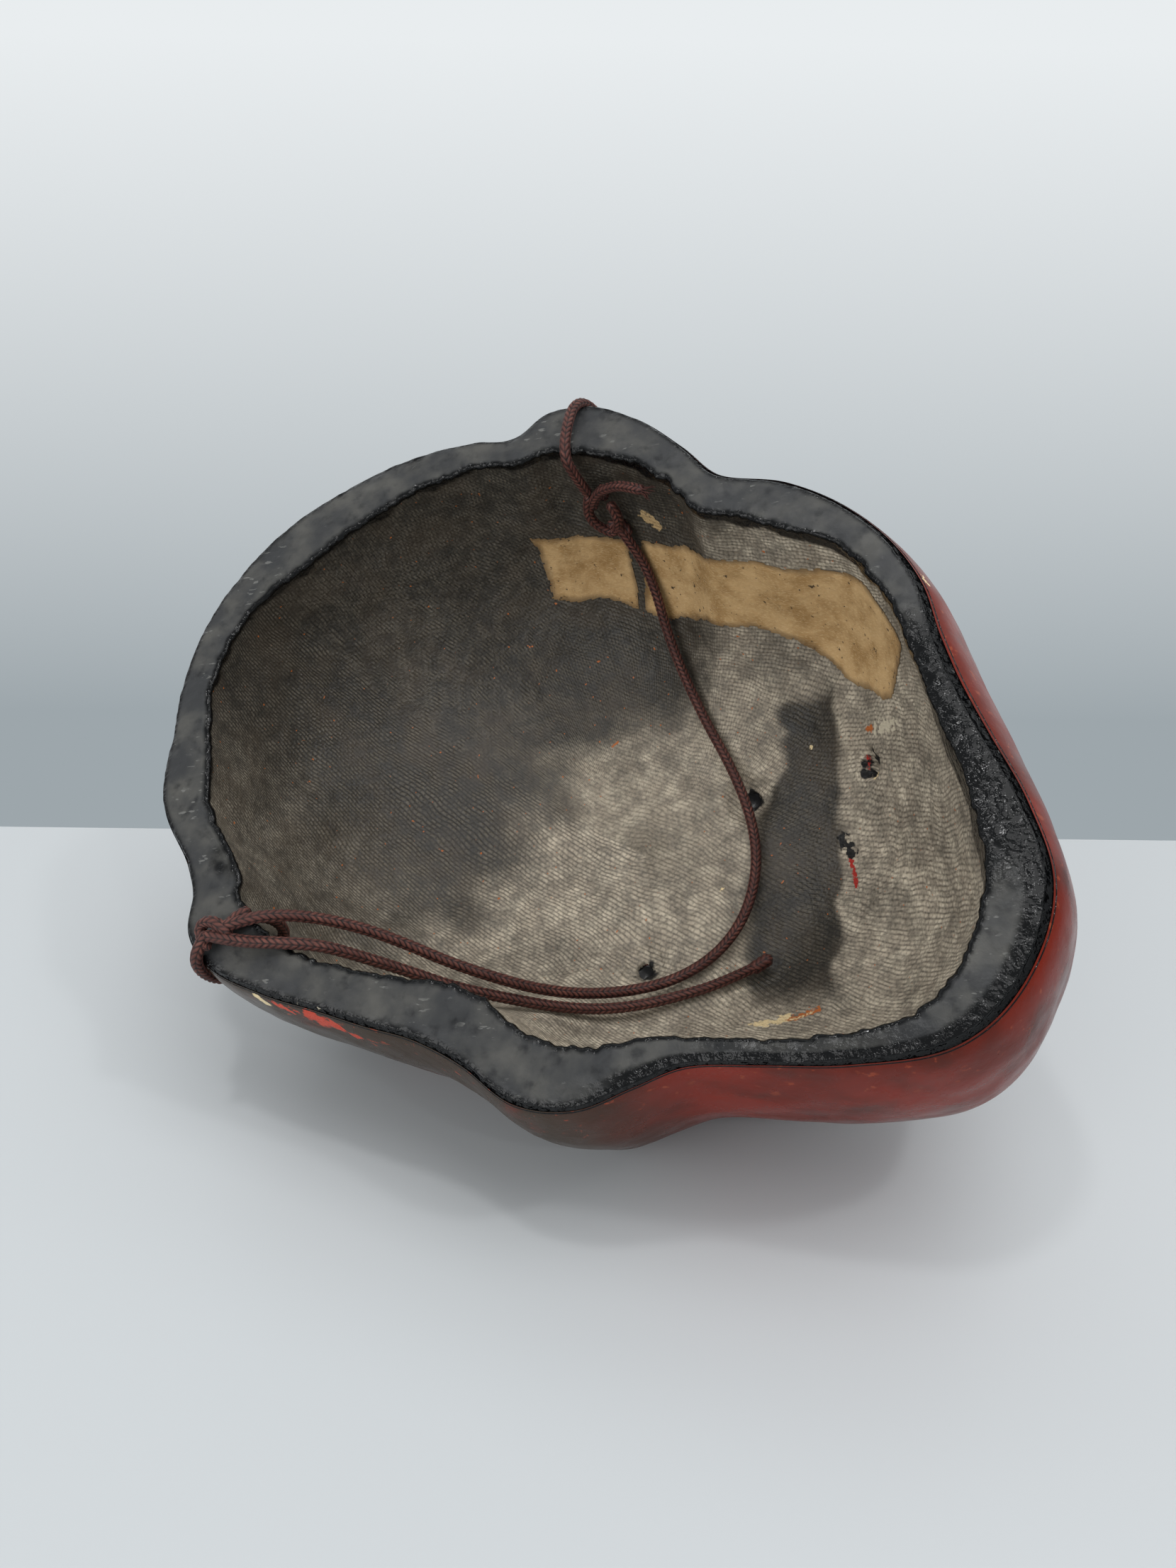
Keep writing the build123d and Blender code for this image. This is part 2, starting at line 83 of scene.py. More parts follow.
# How far the wood stands out past the black edge, just below it.
EDGE_FLARE = (
    (-150, 0), (-125, 1.5), (-105, 2.5), (-85, 2.5), (-65, 3), (-50, 1.5), (-35, 0.8),
    (-18, 2.5), (-4, 4.5), (10, 6), (24, 8), (35, 7.5), (46, 5), (58, 3.5), (75, 3.5), (90, 3),
    (102, 1.5), (118, 0.8), (140, 0.5),
)
# Power of the cosine by which the sides draw in: a low power keeps them steep.
SIDE_SLOPE = (
    (-170, 0.72), (-145, 0.50), (-120, 0.45), (-90, 0.58), (-60, 0.62), (0, 0.58),
    (60, 0.62), (90, 0.58), (120, 0.45), (145, 0.50),
)


def around(stations: Sequence[Station], angle: np.ndarray | float) -> np.ndarray:
    """Smooth closed curve through (angle, value) stations.

    Each piece is a cubic whose slope at a station is the averaged slope of its neighbours.

    Args:
        stations: Angles in degrees, rising, each with its value.
        angle: Angles to read the curve at, in degrees.

    Returns:
        The values at those angles.
    """
    angles = np.array([a for a, _ in stations], float)
    values = np.array([v for _, v in stations], float)
    angles = np.concatenate((angles[-2:] - 360, angles, angles[:2] + 360))
    values = np.concatenate((values[-2:], values, values[:2]))
    slopes = np.gradient(values, angles)
    x = (np.asarray(angle, float) + 180) % 360 - 180
    x = np.where(x < stations[0][0], x + 360, x)
    i = np.searchsorted(angles, x, side="right") - 1
    step = angles[i + 1] - angles[i]
    t = (x - angles[i]) / step
    return (values[i] * (1 + 2 * t) * (1 - t) ** 2 + slopes[i] * step * t * (1 - t) ** 2
            + values[i + 1] * t * t * (3 - 2 * t) + slopes[i + 1] * step * t * t * (t - 1))


def at(angle: float, reach: float, depth: float) -> Point:
    """Mask point from its angle round the rim, its distance from the middle and its depth."""
    return reach * math.sin(math.radians(angle)), reach * math.cos(math.radians(angle)), depth


def mound(u: np.ndarray, v: np.ndarray, at_u: float, at_v: float, wide: float, tall: float) -> np.ndarray:
    """A smooth hill of height 1: exp(-((u - at_u) / wide)^2 - ((v - at_v) / tall)^2)."""
    return np.exp(-((u - at_u) / wide) ** 2 - ((v - at_v) / tall) ** 2)


def both(u: np.ndarray, v: np.ndarray, at_u: float, at_v: float, wide: float, tall: float) -> np.ndarray:
    """The same hill on both sides of the middle line."""
    return mound(u, v, at_u, at_v, wide, tall) + mound(u, v, -at_u, at_v, wide, tall)


def smooth_step(x: np.ndarray, low: float, high: float) -> np.ndarray:
    """0 below low, 1 above high and the smooth S of t^2 (3 - 2t) between."""
    t = np.clip((x - low) / (high - low), 0, 1)
    return t * t * (3 - 2 * t)


def unit(vectors: Sequence[float] | np.ndarray) -> np.ndarray:
    """The same directions with length 1, over the last axis."""
    vectors = np.asarray(vectors, float)
    return vectors / np.linalg.norm(vectors, axis=-1, keepdims=True)


def ripples(points: np.ndarray, wavelength: float, seed: int, waves: int = 14) -> np.ndarray:
    """Uneven surface: the mean of plane waves in random directions, from about -1 to 1.

    Args:
        points: Points in millimetres, the last axis being x, y, z.
        wavelength: Typical distance from hill to hill, in millimetres.
        seed: Start of the random directions, so that each run is the same.
        waves: How many waves are added.

    Returns:
        One height for each point.
    """
    dice = np.random.default_rng(seed)
    directions = unit(dice.normal(size=(waves, 3)))
    lengths = wavelength * dice.uniform(0.7, 1.5, waves)
    phases = dice.uniform(0, 2 * math.pi, waves)
    angle = points @ (directions * (2 * math.pi / lengths)[:, None]).T + phases
    return np.sin(angle).sum(axis=-1) / math.sqrt(waves)


@dataclass(frozen=True)
class MaskForm:
    """The carved form as two bowls, each a point for a turn (0 at the rim, 90 in the middle) and an angle."""

    face_depth: float = 80.0
    cavity_depth: float = 71.0
    centre_drop: float = 12.0
    depth_power: float = 0.9
    section_slope: float = 0.58
    cavity_slope: float = 0.06
    flare_start: float = 0.03
    relief_start: float = 0.35
    eye_spread: float = 29.0
    eye_level: float = 31.0
    brow_height: float = 5.0
    temple_height: float = 14.0
    socket_depth: float = 5.5
    lid_height: float = 6.5
    cheek_height: float = 1.5
    nose_height: float = 30.5
    nose_level: float = 58.0
    wing_height: float = 8.5
    nostril_spread: float = 14.0
    nostril_level: float = 64.0
    mouth_level: float = 89.5
    lip_height: float = 4.5
    mouth_groove: float = 3.0
    chin_height: float = 5.0
    rim_overhang: float = 1.2

    def carving(self, u: np.ndarray, v: np.ndarray) -> np.ndarray:
        """Height of the face above its plain: bells and ridges, each raised or cut at its own place.

        Args:
            u: Places across the face, in millimetres.
            v: Places down the face.

        Returns:
            The height at each place.
        """
        a = np.abs(u)
        # Brow ridge, temples, and the sockets with the lids domed up in them.
        above = v - self.eye_level + 20 + 0.12 * a
        height = self.brow_height * np.exp(-(above / 8) ** 2 - ((a - 32) / 24) ** 4)
        height = height + self.temple_height * both(u, v, 52, -42, 22, 22)
        height = height - self.socket_depth * both(u, v, self.eye_spread, self.eye_level - 1, 14, 9)
        height = height + self.lid_height * both(u, v, self.eye_spread, self.eye_level, 9.5, 7)
        # Nose: a ridge that widens and rises to the tip, and ends there in a soft step; then its wings.
        along = np.clip((v - self.nose_level + 38) / 38, 0, 1)
        root = np.clip((v - self.nose_level + 52) / 16, 0, 1)
        tip = 1 / (1 + np.exp((v - self.nose_level - 10) / 3.6))
        ridge = np.exp(-(a / (9 + 6 * along)) ** 2.4)
        height = height + (0.25 + 0.75 * along) * self.nose_height * ridge * root * tip
        height = height + self.wing_height * both(u, v, self.nostril_spread, self.nostril_level, 8.5, 8)
        # Cheeks, then two lips with the groove of the mouth between them, and the chin.
        height = height + self.cheek_height * both(u, v, 46, 56, 16, 16)
        upper = self.mouth_level - 7 + 0.0025 * a * a
        lower = self.mouth_level + 7 + 0.001 * a * a
        line = self.mouth_level + 0.002 * a * a
        height = height + self.lip_height * np.exp(-((v - upper) / 6.5) ** 2 - (a / 34) ** 4)
        height = height + self.lip_height * np.exp(-((v - lower) / 6.5) ** 2 - (a / 28) ** 4)
        height = height - self.mouth_groove * np.exp(-((v - line) / 4.5) ** 2 - (a / 34) ** 4)
        return height + self.chin_height * mound(u, v, 0, 112, 22, 9)

    def hollowing(self, u: np.ndarray, v: np.ndarray) -> np.ndarray:
        """Depth of the cavity below its plain: bells behind the nose, nostrils, temples and eyes.

        Args:
            u: Places across the hollow, in millimetres.
            v: Places down the hollow.

        Returns:
            The added depth at each place.
        """
        depth = 7 * mound(u, v, 0, 58, 17, 13) + 3 * both(u, v, 26, 66, 16, 12)
        depth = depth + 5 * both(u, v, 46, -40, 24, 24)
        return depth + 2.5 * both(u, v, self.eye_spread - 1, self.eye_level - 1, 8, 8)

    def outer(self, turn: np.ndarray, angle: np.ndarray) -> np.ndarray:
        """Points of the outside, with c and s the cosine and sine of the turn.

        The reach from the middle is outline c^slope + swell sin(2 turn) c + flare s c^2 / (s + start), and
        the depth is face_depth s^power + carving.

        Args:
            turn: Turns in degrees, 0 at the rim and 90 in the middle.
            angle: Angles round the rim, in degrees.

        Returns:
            The points, in mask millimetres.
        """
        c, s = np.cos(np.radians(turn)), np.sin(np.radians(turn))
        swell = around(SIDE_SWELL, angle) * np.sin(np.radians(2 * turn)) * c
        swell = swell + around(EDGE_FLARE, angle) * s / (s + self.flare_start) * c * c
        reach = around(RIM_OUTLINE, angle) * c ** around(SIDE_SLOPE, angle) + swell
        u = reach * np.sin(np.radians(angle))
        v = reach * np.cos(np.radians(angle)) + self.centre_drop * s ** 3
        rise = smooth_step(s, 0, self.relief_start)
        return np.stack((u, v, self.face_depth * s ** self.depth_power + rise * self.carving(u, v)), axis=-1)

    def cavity(self, turn: np.ndarray, angle: np.ndarray, grow: float) -> np.ndarray:
        """Points of the hollow: (outline - width + grow) c^slope across, and depth s^power + hollowing.

        Args:
            turn: Turns in degrees, 0 at the rim and 90 in the middle.
            angle: Angles round the rim, in degrees.
            grow: How much larger it is made all over, in millimetres.

        Returns:
            The points, in mask millimetres.
        """
        c, s = np.cos(np.radians(turn)), np.sin(np.radians(turn))
        edge = around(RIM_OUTLINE, angle) - around(RIM_WIDTH, angle) + grow
        reach = edge * c ** (around(SIDE_SLOPE, angle) + self.cavity_slope)
        u = reach * np.sin(np.radians(angle))
        v = reach * np.cos(np.radians(angle)) + self.centre_drop * s ** 3
        depth = (self.cavity_depth + grow) * s ** self.depth_power
        return np.stack((u, v, depth + np.clip(s / 0.5, 0, 1) * self.hollowing(u, v)), axis=-1)

    def rim_edges(self, angle: np.ndarray) -> tuple[np.ndarray, np.ndarray]:
        """Outer and inner distance of the rim from the middle, at each angle."""
        edge = around(RIM_OUTLINE, angle)
        return edge, edge - around(RIM_WIDTH, angle)

    @staticmethod
    def even_angles(columns: int) -> np.ndarray:
        """Angles an even step apart round the rim, from -180 degrees."""
        return np.arange(columns) * 360 / columns - 180

    def even_turns(self, rows: int, first: float, depth: float) -> np.ndarray:
        """Turns whose rings lie evenly along a section of the bowl, from first to just short of 90.

        The section is (90 cos^slope, depth sin^power), whose length is added up and read at even steps.

        Args:
            rows: How many rings.
            first: Turn of the first ring.
            depth: Depth of the bowl, in millimetres.

        Returns:
            The turns, in degrees.
        """
        fine = 90 - (90 - first) * np.linspace(1, 0, 6000) ** 3
        c, s = np.cos(np.radians(fine)), np.sin(np.radians(fine))
        steps = np.hypot(np.diff(90 * c ** self.section_slope), np.diff(depth * s ** self.depth_power))
        run = np.concatenate(((0,), np.cumsum(steps)))
        return np.interp(np.linspace(0, run[-1], rows + 1)[:-1], run, fine)

    def grid(self, rows: int, columns: int, first: float, depth: float) -> tuple[np.ndarray, np.ndarray]:
        """Turn and angle of each point of a bowl, ring by ring.

        Args:
            rows: How many rings.
            columns: How many points in a ring.
            first: Turn of the first ring, in degrees.
            depth: Depth of the bowl, in millimetres.

        Returns:
            The turns and the angles, rows by columns.
        """
        turn, angle = np.meshgrid(self.even_turns(rows, first, depth), self.even_angles(columns), indexing="ij")
        return turn, angle


@dataclass(frozen=True)
class Hole:
    """A small hole or sunk place in a carved skin, in mask millimetres."""

    place: Point
    radius: float
    inward: Point = (0, 0, 1)
    depth: float = 6.0
    edge: float = 0.25

    def sink(self, points: np.ndarray) -> np.ndarray:
        """Pushes in the points near the place: fully inside the radius, and not at all just outside.

        Args:
            points: Points of a skin, in millimetres.

        Returns:
            The same points, moved along the inward direction.
        """
        reach = np.linalg.norm(points - np.array(self.place), axis=-1)
        reach = reach + 0.12 * self.radius * ripples(points, 2.4, 31)
        share = smooth_step(-reach, -self.radius * (1 + self.edge), -self.radius * (1 - self.edge))
        return points + unit(self.inward) * (self.depth * share)[..., None]


@dataclass
class Placement:
    """Lays the mask down on its cheek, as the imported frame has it."""

    up: Point = (0.6324, -0.1590, -0.7582)
    heading: Point = (0.539, 0.800, 0.264)
    middle: Point = (-9.652, -11.468, 93.769)
    turn: np.ndarray = field(init=False)
    shift: np.ndarray = field(init=False)

    def __post_init__(self) -> None:
        """Rows of turn are the row frame's axes, seen from the mask."""
        up = unit(self.up)
        across = unit(np.array(self.heading) - up * np.dot(self.heading, up))
        self.turn = np.array((across, np.cross(up, across), up))
        self.shift = np.array(self.middle) * MILLIMETRE

    def lay(self, points: np.ndarray) -> np.ndarray:
        """Mask millimetres to row metres."""
        return points @ self.turn.T * MILLIMETRE + self.shift

    def spots(self, spots: Sequence["Spot"]) -> tuple["Spot", ...]:
        """Spots laid down with the mask.

        Args:
            spots: Spots whose place and line are in mask millimetres.

        Returns:
            The same spots in row metres.
        """
        return tuple(
            replace(spot, place=tuple(self.lay(np.array(spot.place, float))),
                    along=tuple(np.array(spot.along, float) @ self.turn.T * MILLIMETRE))
            for spot in spots)


# ---- meshes ---------------------------------------------------------------------------------------

def sheet_faces(rows: int, columns: int, closed: bool) -> np.ndarray:
    """Four-cornered faces of a grid, each joining a point to its neighbours right, below right and below.

    Args:
        rows: How many rows of points.
        columns: How many points in a row.
        closed: Whether the last column joins the first.

    Returns:
        Four vertex numbers for each face.
    """
    index = np.arange(rows * columns).reshape(rows, columns)
    right = np.roll(index, -1, axis=1)
    keep = slice(None) if closed else slice(0, columns - 1)
    corners = (index[:-1, keep], right[:-1, keep], right[1:, keep], index[1:, keep])
    return np.stack([corner.ravel() for corner in corners], axis=1)


def bowl_faces(rows: int, columns: int) -> tuple[np.ndarray, np.ndarray]:
    """Faces of a bowl: a closed grid, and a fan from its last ring to one middle point.

    Args:
        rows: How many rings.
        columns: How many points in a ring.

    Returns:
        Four vertex numbers for each face of the grid, and three for each of the fan.
    """
    last = np.arange((rows - 1) * columns, rows * columns)
    fan = np.stack((last, np.roll(last, -1), np.full(columns, rows * columns)), axis=1)
    return sheet_faces(rows, columns, True), fan


def make_piece(name: str, points: np.ndarray, faces: Sequence[np.ndarray],
               charts: Mapping[str, np.ndarray] | None = None,
               marks: Mapping[str, np.ndarray] | None = None) -> bpy.types.Object:
    """Object of one mesh that rides on the mask.

    Args:
        name: Name of the piece.
        points: Its vertices in metres, in the row frame.
        faces: Arrays of vertex numbers, one row for each face.
        charts: UV maps by name, two coordinates for each corner of each face, in order.
        marks: Named numbers for each vertex, from 0 to 1, that its material reads.

    Returns:
        The new object.
    """
    mesh = bpy.data.meshes.new(name)
    mesh.from_pydata(points.tolist(), [], [face for group in faces for face in group.tolist()])
    for chart, places in (charts or {}).items():
        mesh.uv_layers.new(name=chart).data.foreach_set("uv", places.astype(np.float32).ravel())
    for mark, values in (marks or {}).items():
        mesh.attributes.new(mark, "FLOAT", "POINT").data.foreach_set("value", values.astype(np.float32).ravel())
    mesh.shade_smooth()
    piece = bpy.data.objects.new(name, mesh)
    bpy.context.scene.collection.objects.link(piece)
    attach(piece, "root")
    return piece


def dress(piece: bpy.types.Object, material: bpy.types.Material) -> None:
    """Gives a piece its one material."""
    piece.data.materials.clear()
    piece.data.materials.append(material)


# ---- materials ------------------------------------------------------------------------------------

def linear(code: str) -> tuple[float, float, float, float]:
    """The linear colour that the renderer reads.

    A part x of the code is x / 12.92 up to 0.04045, and ((x + 0.055) / 1.055)^2.4 above.

    Args:
        code: An sRGB hex code.

    Returns:
        Red, green, blue and alpha.
    """
    parts = [int(code[i:i + 2], 16) / 255 for i in (1, 3, 5)]
    red, green, blue = (x / 12.92 if x <= 0.04045 else ((x + 0.055) / 1.055) ** 2.4 for x in parts)
    return red, green, blue, 1.0


def add(tree: bpy.types.NodeTree, kind: str, inputs: Mapping[str | int, Any] | None = None,
        **settings: Any) -> bpy.types.Node:
    """Adds one node.

    Args:
        tree: The material's node tree.
        kind: Type of the node, without the ShaderNode at its front.
        inputs: Socket name or number, and its value or the socket that feeds it.
        settings: Properties of the node.

    Returns:
        The new node.
    """
    node = tree.nodes.new("ShaderNode" + kind)
    for key, value in settings.items():
        setattr(node, key, value)
    for key, value in (inputs or {}).items():
        if isinstance(value, bpy.types.NodeSocket):
            tree.links.new(value, node.inputs[key])
        else:
            node.inputs[key].default_value = value
    return node


class Wear(Enum):
    """What shows at a worn place, as its colour, and the near black that is painted shade in holes and pits."""

    GROUND = "#E6CFA0"
    ORANGE = "#B4642E"
    EMBER = "#C23A1A"
    RED = "#A3241B"
    TAN = "#B79B70"
    FIBRE = "#C9BFA8"
    # Near black: painted shade for the inside of holes and pits, not a colour of the mask.
    DARK = "#0B0A0A"


@dataclass(frozen=True)
class Spot:
    """A worn or dark patch on a surface, round or drawn out along a line."""

    place: Point
    radius: float
    wear: Wear
    along: Point = (0, 0, 0)
    ragged: float = 0.5


@dataclass(frozen=True)
class Finish:
    """A finish that makes one material; each kind says what it is made of."""

    name: str = "finish"
    spots: tuple[Spot, ...] = ()

    def material(self) -> bpy.types.Material:
        """New material with this finish.

        Returns:
            The material, named for the finish.
        """
        made = bpy.data.materials.new(self.name)
        made.use_nodes = True
        tree = made.node_tree
        tree.nodes.clear()
        add(tree, "OutputMaterial", {"Surface": self.surface(tree)})
        return made

    def surface(self, tree: bpy.types.NodeTree) -> bpy.types.NodeSocket:
        """Wires the surface of the material.

        Args:
            tree: The material's node tree.

        Returns:
            The shader.
        """
        raise NotImplementedError

    @staticmethod
    def spread(tree: bpy.types.NodeTree, size_mm: float, low: float, high: float, detail: float = 4.0,
               seed: float = 0.0, stretch: Point = (1, 1, 1)) -> bpy.types.NodeSocket:
        """Patches of noise from 0 to 1, about size_mm across, cut off between low and high.

        Args:
            tree: The material's node tree.
            size_mm: Typical size of a patch on the object.
            low: Noise value that becomes 0.
            high: Noise value that becomes 1.
            detail: How many finer layers it has.
            seed: Moves the pattern, in metres.
            stretch: Factors on the three coordinates.

        Returns:
            The socket with the result.
        """
        place = add(tree, "TexCoord").outputs["Object"]
        moved = add(tree, "Mapping", {"Vector": place, "Location": (seed, seed * 0.7, -seed), "Scale": stretch})
        noise = add(tree, "TexNoise", {"Vector": moved.outputs[0], "Scale": 1 / (size_mm * MILLIMETRE),
                                       "Detail": detail})
        cut = add(tree, "MapRange", {"Value": noise.outputs[0], "From Min": low, "From Max": high},
                  interpolation_type="SMOOTHSTEP")
        return cut.outputs[0]

    def spotted(self, tree: bpy.types.NodeTree, colour: bpy.types.NodeSocket) -> bpy.types.NodeSocket:
        """Lays the colour of each spot over a colour, within a ragged distance of the spot's line.

        The distance is |p - place - k along|, with k = (p - place) . along / |along|^2 held from -1 to 1.

        Args:
            tree: The material's node tree.
            colour: The colour below.

        Returns:
            The colour with the spots on it.
        """
        here = add(tree, "TexCoord").outputs["Object"]
        for spot in self.spots:
            offset = add(tree, "VectorMath", {0: here, 1: spot.place}, operation="SUBTRACT").outputs[0]
            length = math.hypot(*spot.along)
            if length > 0:
                dot = add(tree, "VectorMath", {0: offset, 1: spot.along}, operation="DOT_PRODUCT")
                share = add(tree, "MapRange", {"Value": dot.outputs["Value"], "From Min": -length ** 2,
                                               "From Max": length ** 2, "To Min": -1.0}).outputs[0]
                nearest = add(tree, "VectorMath", {0: spot.along, "Scale": share}, operation="SCALE").outputs[0]
                offset = add(tree, "VectorMath", {0: offset, 1: nearest}, operation="SUBTRACT").outputs[0]
            reach = add(tree, "VectorMath", {0: offset}, operation="LENGTH").outputs["Value"]
            radius = spot.radius * MILLIMETRE
            rough = self.spread(tree, spot.radius * 0.7, 0.3, 0.7, detail=3)
            reach = add(tree, "Math", {0: rough, 1: spot.ragged * radius, 2: reach},
                        operation="MULTIPLY_ADD").outputs[0]
            inside = add(tree, "MapRange", {"Value": reach, "From Min": radius, "From Max": 0.8 * radius})
            colour = self.layer(tree, colour, spot.wear.value, inside.outputs[0])
        return colour

    @staticmethod
    def layer(tree: bpy.types.NodeTree, below: Colour, above: Colour, *shares: Share) -> bpy.types.NodeSocket:
        """Lays one colour over another, as thick as the product of the shares.

        Args:
            tree: The material's node tree.
            below: A hex code or a socket.
            above: A hex code or a socket.
            shares: Numbers or sockets, from 0 to 1.

        Returns:
            The colour that shows.
        """
        share = shares[0]
        for factor in shares[1:]:
            share = add(tree, "Math", {0: share, 1: factor}, operation="MULTIPLY", use_clamp=True).outputs[0]
        colours = [linear(colour) if isinstance(colour, str) else colour for colour in (below, above)]
        return add(tree, "Mix", {0: share, 6: colours[0], 7: colours[1]}, data_type="RGBA").outputs[2]


@dataclass(frozen=True)
class RedLacquer(Finish):
    """Old red urushi over wood: a satin film, browned by handling, with its pale ground showing at chips."""

    name: str = "red_urushi"
    # Rubbed lacquer gives a soft broad shine, and its red turns brown where grease and smoke lie on it.
    fresh: str = "#7E1F0A"
    worn: str = "#551A0D"
    soiled: str = "#34180C"
    olive: str = "#37281A"
    rubbed: str = "#8A3A20"

    def surface(self, tree: bpy.types.NodeTree) -> bpy.types.NodeSocket:
        """Red film with broad soiling, olive grime at the ears, rubbed edges and small dents.

        Args:
            tree: The material's node tree.

        Returns:
            The shader.
        """
        soil = add(tree, "Attribute", attribute_name="soil").outputs["Fac"]
        edge = add(tree, "Attribute", attribute_name="edge").outputs["Fac"]
        colour = self.layer(tree, self.fresh, self.worn, self.spread(tree, 24, 0.3, 0.75))
        grime = self.spread(tree, 11, 0.45, 0.8, detail=5, seed=0.3)
        colour = self.layer(tree, colour, self.soiled, grime, 0.65)
        colour = self.layer(tree, colour, self.olive, soil, self.spread(tree, 14, 0.12, 0.42, seed=0.7))
        rubbing = self.spread(tree, 2.4, 0.62, 0.7, detail=5, seed=0.2)
        colour = self.spotted(tree, self.layer(tree, colour, self.rubbed, edge, rubbing))
        rough = self.spread(tree, 9, 0.3, 0.75, seed=1.1)
        rough = add(tree, "MapRange", {"Value": rough, "To Min": 0.2, "To Max": 0.36}).outputs[0]
        dents = self.spread(tree, 6, 0.25, 0.8, detail=4, seed=2)
        bump = add(tree, "Bump", {"Height": dents, "Strength": 0.25, "Distance": 0.4 * MILLIMETRE})
        shader = add(tree, "BsdfPrincipled", {
            "Base Color": colour, "Roughness": rough, "IOR": 1.52, "Specular IOR Level": 0.15,
            "Normal": bump.outputs[0]})
        return shader.outputs[0]


@dataclass(frozen=True)
class BlackLacquer(Finish):
    """Black urushi on the rim: grey and satin where handled, black and wet-looking on its rounded edges."""

    name: str = "black_urushi"
    # Polished by hands it is a cloudy grey; the thick unpolished coat on the jaw is black and wet-looking.
    worn: str = "#343536"
    dusty: str = "#52514D"
    deep: str = "#1B1C1E"
    glossy: str = "#08090A"
    scratch: str = "#777773"

    def surface(self, tree: bpy.types.NodeTree) -> bpy.types.NodeSocket:
        """Clouded grey film, fine scratches and the lumps of brushed lacquer, glossy where marked.

        Args:
            tree: The material's node tree.

        Returns:
            The shader.
        """
        gloss = add(tree, "Attribute", attribute_name="gloss").outputs["Fac"]
        colour = self.layer(tree, self.worn, self.dusty, self.spread(tree, 9, 0.35, 0.75, detail=6))
        colour = self.layer(tree, colour, self.deep, self.spread(tree, 3.4, 0.5, 0.85, detail=4, seed=0.5))
        lines = self.spread(tree, 1.1, 0.62, 0.67, detail=3, seed=0.35, stretch=(0.22, 0.9, 1))
        handled = self.spread(tree, 12, 0.5, 0.58, seed=0.15)
        colour = self.layer(tree, colour, self.scratch, lines, handled, 0.6)
        polish = self.spread(tree, 14, 0.62, 0.8, seed=0.9)
        shine = add(tree, "Math", {0: gloss, 1: polish}, operation="ADD", use_clamp=True).outputs[0]
        colour = self.spotted(tree, self.layer(tree, colour, self.glossy, shine))
        rough = add(tree, "MapRange", {"Value": shine, "To Min": 0.46, "To Max": 0.12}).outputs[0]
        lumps = self.spread(tree, 1.7, 0.35, 0.8, detail=3, seed=1.3)
        thick = add(tree, "MapRange", {"Value": shine, "To Min": 0.3, "To Max": 1.6}).outputs[0]
        lumps = add(tree, "Math", {0: lumps, 1: thick}, operation="MULTIPLY").outputs[0]
        waves = self.spread(tree, 7, 0.2, 0.8, detail=3, seed=1.7)
        relief = add(tree, "Math", {0: waves, 1: 0.5, 2: lumps}, operation="MULTIPLY_ADD").outputs[0]
        bump = add(tree, "Bump", {"Height": relief, "Strength": 0.35, "Distance": 0.5 * MILLIMETRE})
        shader = add(tree, "BsdfPrincipled", {
            "Base Color": colour, "Roughness": rough, "IOR": 1.54, "Specular IOR Level": 0.22,
            "Normal": bump.outputs[0]})
        return shader.outputs[0]


